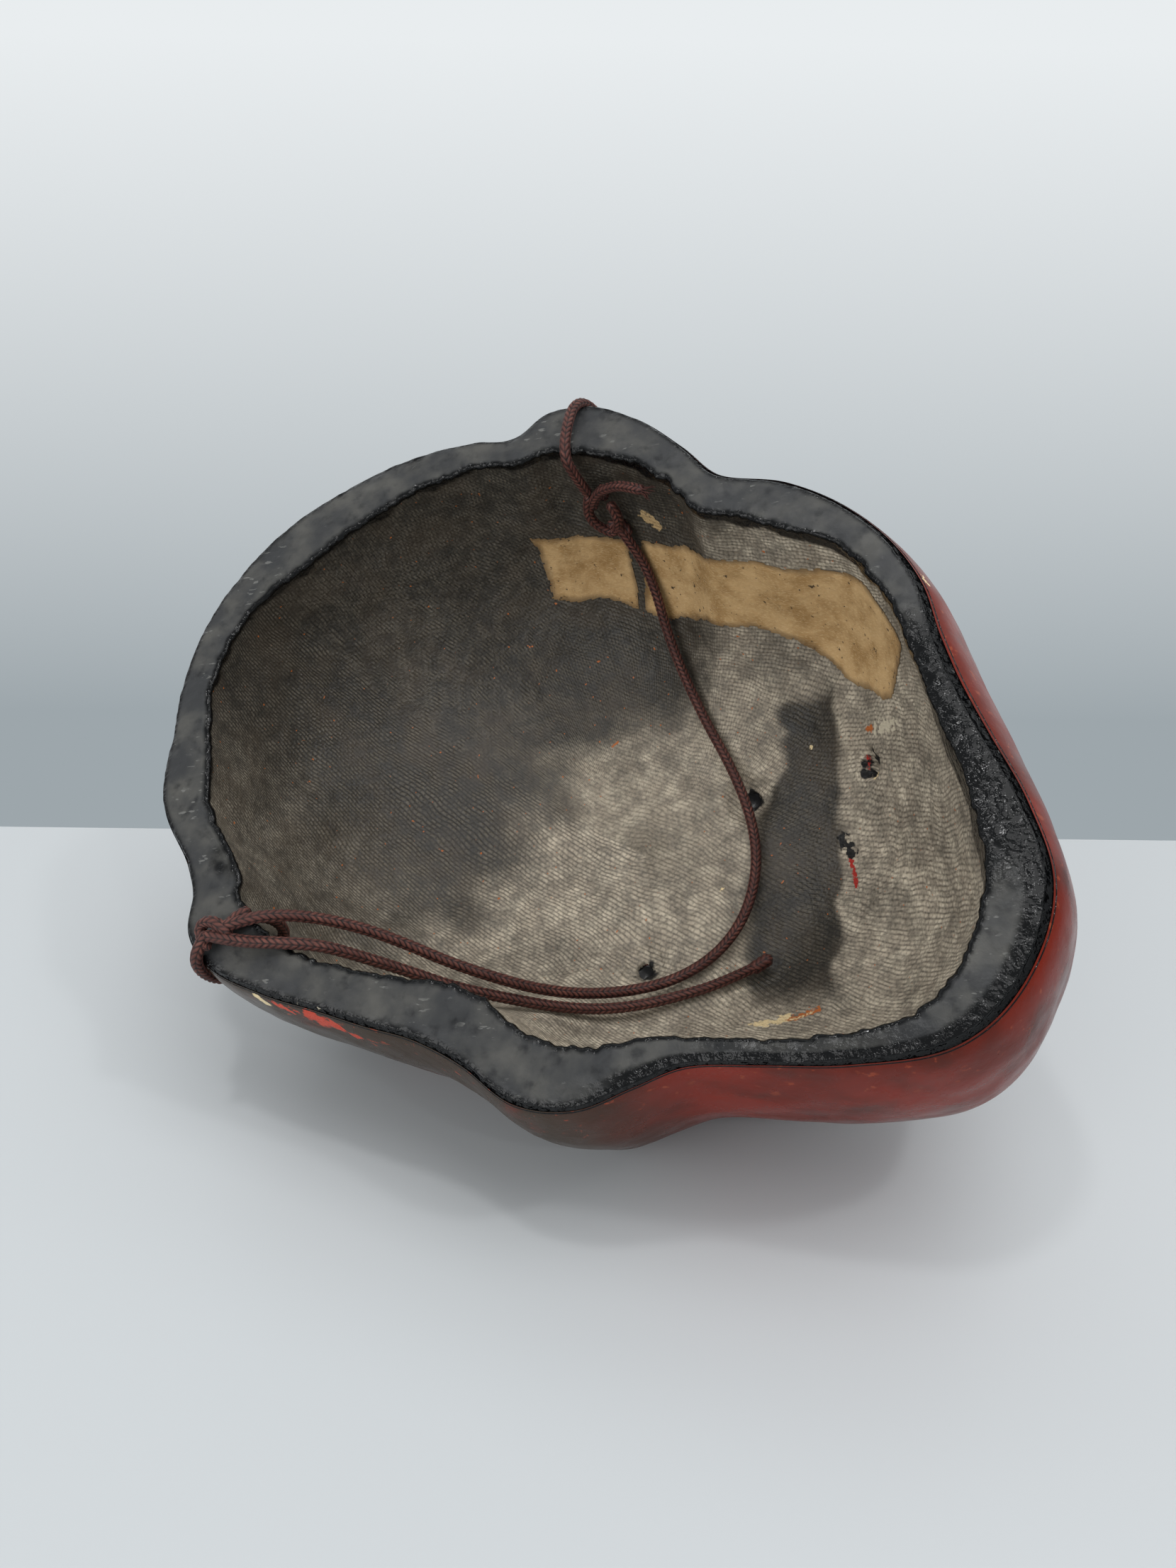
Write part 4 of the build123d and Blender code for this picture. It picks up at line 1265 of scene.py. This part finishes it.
@dataclass
class PastedPaper:
    """A strip of old paper pasted on the lining: its outline is given square on to the wall."""

    place: Placement
    name: str
    node: str
    outline: Sequence[Station]
    origin: Point = (63.0, 16.5, 32.5)
    outward: Point = (0.969, 0.063, 0.239)
    chinward: Point = (-0.009, 0.975, -0.220)
    step: float = 0.5
    lift: float = 0.22
    stand_off: float = 25.0
    reach: float = 80.0

    def build(self, cloth: BVHTree) -> bpy.types.Object:
        """Cells of a grid within the torn outline, dropped on to the cloth.

        Corners just outside the outline move on to it, so that its edge is clean.

        Args:
            cloth: Faces of the lining, in row metres.

        Returns:
            The paper.
        """
        corners = np.array(self.outline, float)
        low, high = corners.min(axis=0) - 1, corners.max(axis=0) + 1
        across, along = (np.arange(a, b, self.step) for a, b in zip(low, high))
        grid = np.stack(np.meshgrid(across, along, indexing="ij"), axis=-1)
        flat = np.concatenate((grid, np.zeros(grid.shape[:2] + (1,))), axis=-1)
        torn = np.stack((ripples(flat, 3.0, 41), ripples(flat, 3.0, 42)), axis=-1) * 0.22
        torn += np.stack((ripples(flat, 11, 43), ripples(flat, 11, 44)), axis=-1) * 0.3
        inside, nearest, gap = self.against(grid + torn, corners)
        cells = sheet_faces(len(across), len(along), False)
        kept = cells[inside.ravel()[cells].sum(axis=1) >= 3]
        moved = np.where(inside[..., None], grid, nearest - torn)
        used = np.unique(kept)
        renumber = np.zeros(grid.shape[0] * grid.shape[1], int)
        renumber[used] = np.arange(len(used))
        edge = smooth_step(-gap.ravel()[used], -2.2, -0.2)
        points = self.drop(moved.reshape(-1, 2)[used], cloth)
        piece = make_piece(self.name, points, [renumber[kept]], marks={"edge": edge})
        dress(piece, Washi().material())
        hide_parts(self.node)
        return piece

    def drop(self, places: np.ndarray, cloth: BVHTree) -> np.ndarray:
        """Casts places on to the cloth, from origin - stand_off out + x chin + y (out cross chin) along out.

        Args:
            places: Places square on to the wall, in millimetres.
            cloth: Faces of the lining, in row metres.

        Returns:
            Points just clear of the cloth, in row metres.
        """
        out = unit(self.outward)
        chin = unit(np.array(self.chinward) - out * np.dot(self.chinward, out))
        side = np.cross(out, chin)
        start = np.array(self.origin) - self.stand_off * out
        start = start + places[:, :1] * chin + places[:, 1:] * side
        aim = Vector(out @ self.place.turn.T)
        points = []
        # The tree takes one ray at a time.
        for begin in self.place.lay(start):
            hit = cloth.ray_cast(Vector(begin), aim, self.reach * MILLIMETRE)[0]
            if hit is None:
                raise ValueError(f"{self.name} reaches past the cloth")
            points.append(hit - aim * self.lift * MILLIMETRE)
        return np.array(points)

    @staticmethod
    def against(places: np.ndarray, corners: np.ndarray) -> tuple[np.ndarray, np.ndarray, np.ndarray]:
        """Compares places with a closed outline, side by side.

        The nearest point of a side is begin + k span, k = (place - begin) . span / |span|^2 held from 0
        to 1.  A place is inside if a line from it crosses an odd number of sides.

        Args:
            places: A grid of places.
            corners: Corners of the outline, in order.

        Returns:
            Whether each place is inside, the nearest point of the outline, and how far away that is.
        """
        inside = np.zeros(places.shape[:2], bool)
        gap = np.full(places.shape[:2], np.inf)
        nearest = places.copy()
        for begin, end in zip(corners, np.roll(corners, -1, axis=0)):
            span = end - begin
            share = np.clip(((places - begin) @ span) / (span @ span), 0, 1)
            candidate = begin + share[..., None] * span
            distance = np.linalg.norm(places - candidate, axis=-1)
            nearest = np.where((distance < gap)[..., None], candidate, nearest)
            gap = np.minimum(gap, distance)
            crosses = (begin[1] > places[..., 1]) != (end[1] > places[..., 1])
            crossing = begin[0] + (places[..., 1] - begin[1]) * span[0] / (span[1] if span[1] else 1)
            inside ^= crosses & (places[..., 0] < crossing)
        return inside, nearest, gap


# Corners of the two strips, square on to the wall: towards the chin, and away from the rim.
SHORT_LABEL = ((-67.5, -16.0), (-43.0, -10.5), (-44.0, 12.5), (-67.5, 6.0))
LONG_LABEL = (
    (-39.0, -11.0), (-30.5, -11.0), (-4.0, -16.0), (12.5, -15.0), (35.0, -16.5), (41.0, -12.0),
    (50.0, -7.0), (44.0, 11.0), (40.5, 14.0), (27.5, 17.0), (18.5, 14.5), (11.5, 10.0),
    (-3.0, 7.5), (-17.5, 8.5), (-36.0, 14.5), (-42.5, 12.5),
)


@dataclass
class EyePlates:
    """The two gilt plates seated in the front, whose shapes are the frame's own."""

    start: str = "eye_plate"

    def build(self) -> list[bpy.types.Object]:
        """Gilds both plates.

        Returns:
            The plates.
        """
        gilding = AgedGilding().material()
        plates = [node for name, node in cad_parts.items() if name.startswith(self.start)]
        for plate in plates:
            dress(plate, gilding)
        return plates


# ---- the tie cord -----------------------------------------------------------------------------------

@dataclass
class Braid:
    """Round braid: tubes whose skin is strands slanted towards each other in columns, as chevrons."""

    name: str
    routes: Sequence[Sequence[Point]]
    place: Placement
    diameter: float = 3.0
    columns: int = 6
    pitch: float = 1.55
    relief: float = 0.3
    step: float = 0.25
    sides: int = 36

    def centre_line(self, route: Sequence[Point]) -> np.ndarray:
        """Points of the open NURBS curve that has a route as its control points.

        Args:
            route: Control points, in mask millimetres.

        Returns:
            Points along the curve, in row metres.
        """
        curve = bpy.data.curves.new(self.name + "_line", "CURVE")
        curve.dimensions = "3D"
        spline = curve.splines.new("NURBS")
        laid = self.place.lay(np.array(route, float))
        spline.points.add(len(laid) - 1)
        spline.points.foreach_set("co", np.column_stack((laid, np.ones(len(laid)))).ravel())
        spline.order_u = 3
        spline.use_endpoint_u = True
        spline.resolution_u = 24
        holder = bpy.data.objects.new(self.name + "_line", curve)
        mesh = bpy.data.meshes.new_from_object(holder)
        line = np.empty(len(mesh.vertices) * 3)
        mesh.vertices.foreach_get("co", line)
        bpy.data.objects.remove(holder)
        bpy.data.curves.remove(curve)
        bpy.data.meshes.remove(mesh)
        return line.reshape(-1, 3)

    @staticmethod
    def even(line: np.ndarray, step: float) -> np.ndarray:
        """The same line with points an even step apart, by its length from the start.

        Args:
            line: Points along a line.
            step: About how far apart the new ones are.

        Returns:
            The new points.
        """
        run = np.concatenate(((0,), np.cumsum(np.linalg.norm(np.diff(line, axis=0), axis=1))))
        count = max(8, int(run[-1] / step))
        places = np.linspace(0, run[-1], count + 1)
        return np.stack([np.interp(places, run, line[:, k]) for k in range(3)], axis=1)

    def tube(self, line: np.ndarray) -> tuple[np.ndarray, np.ndarray]:
        """Skin of one length.

        With x the place across a column, its strands are p = frac(along / pitch + x), or 1 - x in every
        second column.  The radius rises by relief (1 - (2p - 1)^2)^0.6 (1 - 0.55 (2x - 1)^6).

        Args:
            line: Points along the middle, an even step apart.

        Returns:
            Points of the skin, ring by ring, and the height of the pattern at each.
        """
        ahead = unit(np.gradient(line, axis=0))
        # No length of the cord runs along this direction, so the frame never fails.
        side = unit(np.cross(ahead, (0.31, 0.17, 0.93)))
        up = np.cross(ahead, side)
        # The ring is turned back by what the frame slips round the line from point to point.
        carried = side[:-1] - ahead[1:] * np.sum(side[:-1] * ahead[1:], axis=1)[:, None]
        slip = np.arctan2(np.sum(carried * up[1:], axis=1), np.sum(carried * side[1:], axis=1))
        twist = np.concatenate(((0,), np.cumsum(slip)))
        round_turn = np.arange(self.sides) * 2 * math.pi / self.sides
        column = round_turn[None, :] * self.columns / (2 * math.pi)
        x = column % 1
        slant = np.where(column // 1 % 2 == 0, x, 1 - x)
        strand = (np.arange(len(line))[:, None] * self.step / self.pitch + slant) % 1
        height = (1 - (2 * strand - 1) ** 2) ** 0.6 * (1 - 0.55 * (2 * x - 1) ** 6)
        radius = (self.diameter / 2 - 0.7 * self.relief + self.relief * height) * MILLIMETRE
        ends = np.minimum(np.arange(len(line)), np.arange(len(line))[::-1])
        radius = radius * np.sqrt(np.clip(ends / 4.0, 0.1, 1))[:, None]
        turned = round_turn[None, :] + twist[:, None]
        ring = np.cos(turned)[..., None] * side[:, None] + np.sin(turned)[..., None] * up[:, None]
        return line[:, None] + radius[..., None] * ring, height

    def build(self) -> tuple[bpy.types.Object, list[np.ndarray]]:
        """One mesh of all the lengths, each closed at both ends.

        Returns:
            The braid and the middle line of each length.
        """
        points, faces, caps, heights, lines, used = [], [], [], [], [], 0
        for route in self.routes:
            line = self.even(self.centre_line(route), self.step * MILLIMETRE)
            skin, height = self.tube(line)
            faces.append(sheet_faces(len(line), self.sides, True) + used)
            caps += [(np.arange(self.sides)[::-1] + used)[None],
                     (np.arange(self.sides) + (len(line) - 1) * self.sides + used)[None]]
            points.append(skin.reshape(-1, 3))
            heights.append(height.ravel())
            lines.append(line)
            used += len(points[-1])
        piece = make_piece(self.name, np.concatenate(points), [*faces, *caps],
                           marks={"height": np.concatenate(heights)})
        return piece, lines


@dataclass
class FrayedEnd:
    """Loose threads where a braid is cut: fine tapering tubes that spread from the cut."""

    place: Placement
    start: Point
    toward: Point
    length: float = 3.2
    threads: int = 26
    spread: float = 0.45
    thickness: float = 0.16
    taper: float = 0.6
    cut_radius: float = 1.1
    waver: float = 0.12
    rings: int = 7
    corners: int = 3
    corner_turn: float = 2.1

    def build(self) -> bpy.types.Object:
        """Each thread is a three-sided tube along start + t way + t^2 bend, which tapers to its tip.

        Returns:
            The threads, as one piece.
        """
        rng = np.random.default_rng(7)
        way = unit(self.toward)
        side = unit(np.cross(way, (0.2, 0.3, 0.9)))
        up = np.cross(way, side)
        points, faces = [], []
        share = np.linspace(0, 1, self.rings)[:, None]
        for index in range(self.threads):
            turn, out = rng.uniform(0, 2 * math.pi), math.sqrt(rng.uniform(0.02, 1))
            lean = (math.cos(turn) * side + math.sin(turn) * up) * out
            reach = self.length * rng.uniform(0.5, 1)
            bend = lean * share ** 2 * reach * self.spread
            stray = rng.normal(0, self.waver, 3) * share ** 2 * reach
            middle = np.array(self.start) + self.cut_radius * lean + way * share * reach + bend + stray
            thick = self.thickness * (1 - self.taper * share)
            corners = self.corner_turn * np.arange(self.corners)
            ring = [middle + thick * (math.cos(k) * side + math.sin(k) * up) for k in corners]
            points.append(np.stack(ring, axis=1).reshape(-1, 3))
            faces.append(sheet_faces(self.rings, self.corners, True) + index * self.rings * self.corners)
        laid = self.place.lay(np.concatenate(points))
        # Every thread is marked as a strand top, so it takes the strand colour and, in patches, the braid's
        # painted sheen.
        return make_piece("braid_fray", laid, faces, marks={"height": np.ones(len(laid))})


# Control points of each length of cord as it lies, in mask millimetres.
CORD_RUN = (
    (68.0, -28.2, 24.0), (67.8, -25.0, 29.5), (65.6, -19.0, 40.0), (55.4, -10.0, 55.5), (42.2, 7.0, 61.5),
    (31.7, 23.5, 65.5), (21.2, 35.6, 67.5), (10.0, 43.2, 69.0), (-3.0, 46.6, 70.5),
    (-16.1, 46.0, 68.0), (-27.7, 41.3, 64.0), (-37.0, 34.1, 58.5), (-44.6, 26.7, 50.3),
    (-49.9, 20.4, 40.7), (-53.6, 13.5, 31.8), (-56.8, 4.5, 24.5), (-59.0, -4.4, 17.0),
    (-61.8, -12.5, 9.5), (-66.2, -20.2, 1.5), (-71.4, -26.0, -4.2),
    (-75.2, -29.4, -5.4), (-78.4, -32.6, -5.2), (-80.4, -35.6, -4.2),
)
CORD_TAIL = (
    (-82.2, -36.6, -2.9), (-79.8, -29.2, -3.2), (-75.0, -20.0, -2.8), (-70.2, -12.8, 1.2),
    (-67.2, -6.9, 9.0), (-63.9, 0.4, 18.2), (-60.8, 8.2, 27.6), (-56.3, 15.9, 36.4),
    (-51.4, 24.2, 44.9), (-45.4, 32.2, 52.6), (-37.8, 39.4, 59.0), (-30.4, 45.6, 62.2),
    (-22.4, 51.4, 66.0), (-12.5, 56.1, 71.0),
)
CORD_SHORT_END = (
    (67.4, -33.8, 18.5), (67.6, -32.4, 14.6), (68.4, -29.2, 10.6), (69.3, -24.8, 7.8),
    (69.5, -20.0, 6.0), (69.0, -14.2, 4.6),
)
# The loops through the wall are given by angle, distance from the middle and depth.
LEFT_LOOP = (
    (-113.6, 88.6, -2.8), (-113.2, 77.4, -2.4), (-113.0, 77.2, 16.0), (-112.6, 97.2, 16.0),
    (-112.6, 97.4, -3.4), (-113.8, 88.7, -4.4),
)
RIGHT_LOOP = (
    (114.0, 75.5, 16.0), (114.0, 97.8, 16.0), (117.6, 97.6, -2.8), (119.0, 76.8, -2.5),
    (117.6, 76.0, 8.0), (116.6, 76.0, 14.0),
)
# Each turn of a knot, and the whipping at the end of the tail.
RIGHT_KNOT_TURNS = (
    ((68.0, -34.0, 14.0), (66.4, -35.2, 18.5), (65.8, -34.6, 23.2), (66.6, -32.0, 26.6), (67.4, -29.0, 27.6),
     (68.2, -26.9, 23.4), (68.6, -26.9, 18.4), (68.8, -28.6, 15.6)),
    ((67.8, -35.0, 20.4), (69.0, -33.4, 16.4), (69.2, -31.0, 12.8), (69.6, -28.6, 10.4)),
    ((67.6, -31.4, 26.2), (69.4, -29.2, 25.2), (69.8, -26.8, 26.0), (68.6, -25.2, 28.6)),
)
LEFT_KNOT_TURNS = (
    ((-84.6, -34.6, -2.0), (-83.6, -36.8, -3.6), (-82.2, -39.0, -3.6), (-80.2, -38.6, -4.6),
     (-78.8, -35.4, -5.8), (-78.9, -32.6, -5.4), (-79.0, -30.6, -4.0)),
    ((-82.6, -36.4, -4.4), (-80.9, -32.4, -4.7), (-79.4, -28.6, -3.7), (-77.6, -25.0, -3.0)),
    ((-78.6, -33.6, -3.4), (-76.8, -33.6, -2.9), (-74.4, -32.9, -2.9), (-72.2, -31.2, -2.8)),
)
TIP_TURNS = (
    ((-14.6, 55.2, 70.4), (-12.2, 56.2, 71.2), (-10.2, 57.2, 71.0), (-8.6, 58.0, 71.2)),
)


@dataclass
class TieCord:
    """The braided cord: a run between the two knots, a tail, two loops through the wall and a short end."""

    place: Placement
    diameter: float = 2.7
    whipping: float = 3.4
    shortest: float = 0.03

    def build(self) -> list[bpy.types.Object]:
        """Makes and dresses each length of cord, then the knots and the cut tip.

        Returns:
            All the pieces of the cord.
        """
        finish = BraidedSilk().material()
        routes = {
            "cord_run": ("braid_run", CORD_RUN, 0.278, "knot"),
            "cord_tail": ("braid_tail", CORD_TAIL, 0.144, "knot"),
            "cord_loop_left": ("braid_loop_left", [at(*p) for p in LEFT_LOOP], 0.067, "object"),
            "cord_loop_right": ("braid_loop_right", [at(*p) for p in RIGHT_LOOP], 0.071, "object"),
            "cord_short_end": ("braid_short_end", CORD_SHORT_END, 0.027, "bare"),
        }
        pieces = []
        for node, (name, route, length, far_end) in routes.items():
            piece, lines = Braid(name, [route], self.place, self.diameter).build()
            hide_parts(node)
            measured = float(np.linalg.norm(np.diff(lines[0], axis=0), axis=1).sum())
            LOG.info("%s is %.1f mm long", name, measured / MILLIMETRE)
            pieces.append(piece)
        for node, (name, turns, width) in {
            "cord_knot_right": ("braid_knot_right", RIGHT_KNOT_TURNS, self.diameter),
            "cord_knot_left": ("braid_knot_left", LEFT_KNOT_TURNS, self.diameter),
            "cord_tip": ("braid_tip", TIP_TURNS, self.whipping),
        }.items():
            piece, _ = Braid(name, turns, self.place, width).build()
            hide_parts(node)
            pieces.append(piece)
        pieces.append(FrayedEnd(self.place, CORD_SHORT_END[-1], (-0.1, 0.95, -0.2)).build())
        for piece in pieces:
            dress(piece, finish)
        return pieces


# ---- the room ---------------------------------------------------------------------------------------

@dataclass(frozen=True)
class Lamp:
    """A rectangular light aimed at the mask: metres and watts."""

    name: str
    place: Point
    size: Station
    power: float


@dataclass
class Room:
    """Pale table, a backdrop glowing with painted light graded by height, soft light from above and the camera,
    in metres.
    """

    eye: Point = (0.0018, -0.2737, 0.2000)
    forward: Point = (0.0049, 0.9045, -0.4264)
    roll: float = 0.683
    view_angle: float = 65.99541
    table_back: float = 0.109
    table_skew: float = 0.011
    wall_back: float = 1.2
    aim: Point = (0, 0, 0.06)
    sky: tuple[float, float, float, float] = (0.87, 0.90, 0.93, 1)
    sky_strength: float = 0.5
    lamps: tuple[Lamp, ...] = (
        Lamp("above", (0.3, -0.24, 1.1), (0.85, 0.9), 4.4),
        Lamp("window", (-0.9, -1.0, 0.55), (1.1, 0.8), 8.5),
        Lamp("lamp_right", (0.6, -0.34, 1.0), (0.09, 0.09), 1.2),
        Lamp("lamp_front", (0.62, -1.15, 0.95), (0.06, 0.06), 0.8),
        Lamp("lamp_above", (-0.15, -0.15, 1.05), (0.09, 0.09), 1.2),
    )

    def camera(self) -> None:
        """Camera at eye height, looking down at the hollow."""
        data = bpy.data.cameras.new("view")
        data.sensor_fit = "VERTICAL"
        data.angle = math.radians(self.view_angle)
        data.clip_start = 0.01
        camera = bpy.data.objects.new("view", data)
        aim = Vector(self.forward).to_track_quat("-Z", "Y").to_matrix().to_4x4()
        rolled = Matrix.Rotation(math.radians(self.roll), 4, "Z")
        camera.matrix_world = Matrix.Translation(self.eye) @ aim @ rolled
        bpy.context.scene.collection.objects.link(camera)
        bpy.context.scene.camera = camera

    def surfaces(self) -> None:
        """Table top, an even grey, and the wall far behind it, whose painted light is graded by its height."""
        right, left = self.table_back - self.table_skew, self.table_back + self.table_skew
        table = self.plane("table", ((-2, -2.5, 0), (2, -2.5, 0), (2, right, 0), (-2, left, 0)))
        dress(table, TableTop().material())
        back = self.wall_back
        wall = self.plane("wall", ((-4, back, -2.5), (4, back, -2.5), (4, back, 2.5), (-4, back, 2.5)))
        dress(wall, Backdrop().material())

    @staticmethod
    def plane(name: str, corners: Sequence[Point]) -> bpy.types.Object:
        """One flat face that isn't part of the object.

        Args:
            name: Name of the piece.
            corners: Its four corners, in metres.

        Returns:
            The new object.
        """
        mesh = bpy.data.meshes.new(name)
        mesh.from_pydata(corners, [], [(0, 1, 2, 3)])
        made = bpy.data.objects.new(name, mesh)
        bpy.context.scene.collection.objects.link(made)
        return made

    def lights(self) -> None:
        """A large soft light overhead, a window in front to the left, three small lamps and a pale sky."""
        for lamp in self.lamps:
            data = bpy.data.lights.new(lamp.name, "AREA")
            data.shape = "RECTANGLE"
            data.size, data.size_y = lamp.size
            data.energy = lamp.power
            made = bpy.data.objects.new(lamp.name, data)
            way = Vector(self.aim) - Vector(lamp.place)
            turned = way.to_track_quat("-Z", "Y").to_matrix().to_4x4()
            made.matrix_world = Matrix.Translation(lamp.place) @ turned
            bpy.context.scene.collection.objects.link(made)
        world = bpy.data.worlds.new("studio")
        world.use_nodes = True
        background = world.node_tree.nodes["Background"]
        background.inputs["Color"].default_value = self.sky
        background.inputs["Strength"].default_value = self.sky_strength
        bpy.context.scene.world = world

    def build(self) -> None:
        """Sets up everything round the mask."""
        self.camera()
        self.surfaces()
        self.lights()
        bpy.context.scene.view_settings.view_transform = "Standard"


@dataclass(frozen=True)
class TableTop(Finish):
    """Pale grey laminate with a faint sheen."""

    name: str = "pale_laminate"
    # Its satin skin holds a soft shadow and no clear reflection.
    grey: str = "#C9CDCF"

    def surface(self, tree: bpy.types.NodeTree) -> bpy.types.NodeSocket:
        """Even pale grey.

        Args:
            tree: The material's node tree.

        Returns:
            The shader.
        """
        shader = add(tree, "BsdfPrincipled", {"Base Color": linear(self.grey), "Roughness": 0.38, "IOR": 1.45})
        return shader.outputs[0]


@dataclass(frozen=True)
class Backdrop(Finish):
    """Pale cloth far behind, drawn as a glow of painted light that darkens downwards, as if lit from above; no
    lamp lights it.
    """

    name: str = "backdrop"
    # Heights in metres over which the painted light rises from dim at the bottom to bright at the top.
    low: float = -0.395
    high: float = 0.364
    dim: str = "#9DA6AB"
    bright: str = "#E9EDEF"

    def surface(self, tree: bpy.types.NodeTree) -> bpy.types.NodeSocket:
        """A pale grey glow, painted light that falls from top to bottom with the height.

        Args:
            tree: The material's node tree.

        Returns:
            The shader.
        """
        height = add(tree, "SeparateXYZ", {0: add(tree, "TexCoord").outputs["Object"]}).outputs[2]
        share = add(tree, "MapRange", {"Value": height, "From Min": self.low, "From Max": self.high}).outputs[0]
        colour = self.layer(tree, self.dim, self.bright, share)
        return add(tree, "Emission", {"Color": colour, "Strength": 1.0}).outputs[0]


def main() -> None:
    """Builds the mask's looks in order."""
    logging.basicConfig(level=logging.INFO, format="%(message)s")
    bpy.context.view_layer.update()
    form, place = MaskForm(), Placement()
    Room().build()
    lining, cloth = HempLining(form, place).build()
    pieces = [CarvedBody(form, place).build(), RimCoat(form, place).build(), lining]
    for name, node, outline in (("pasted_short", "paper_label_short", SHORT_LABEL),
                                ("pasted_long", "paper_label_long", LONG_LABEL)):
        pieces.append(PastedPaper(place, name, node, outline).build(cloth))
    pieces += TieCord(place).build()
    pieces += EyePlates().build()
    for piece in pieces:
        LOG.info("%s has %d faces", piece.name, len(piece.data.polygons))


if __name__ == "__main__":
    main()
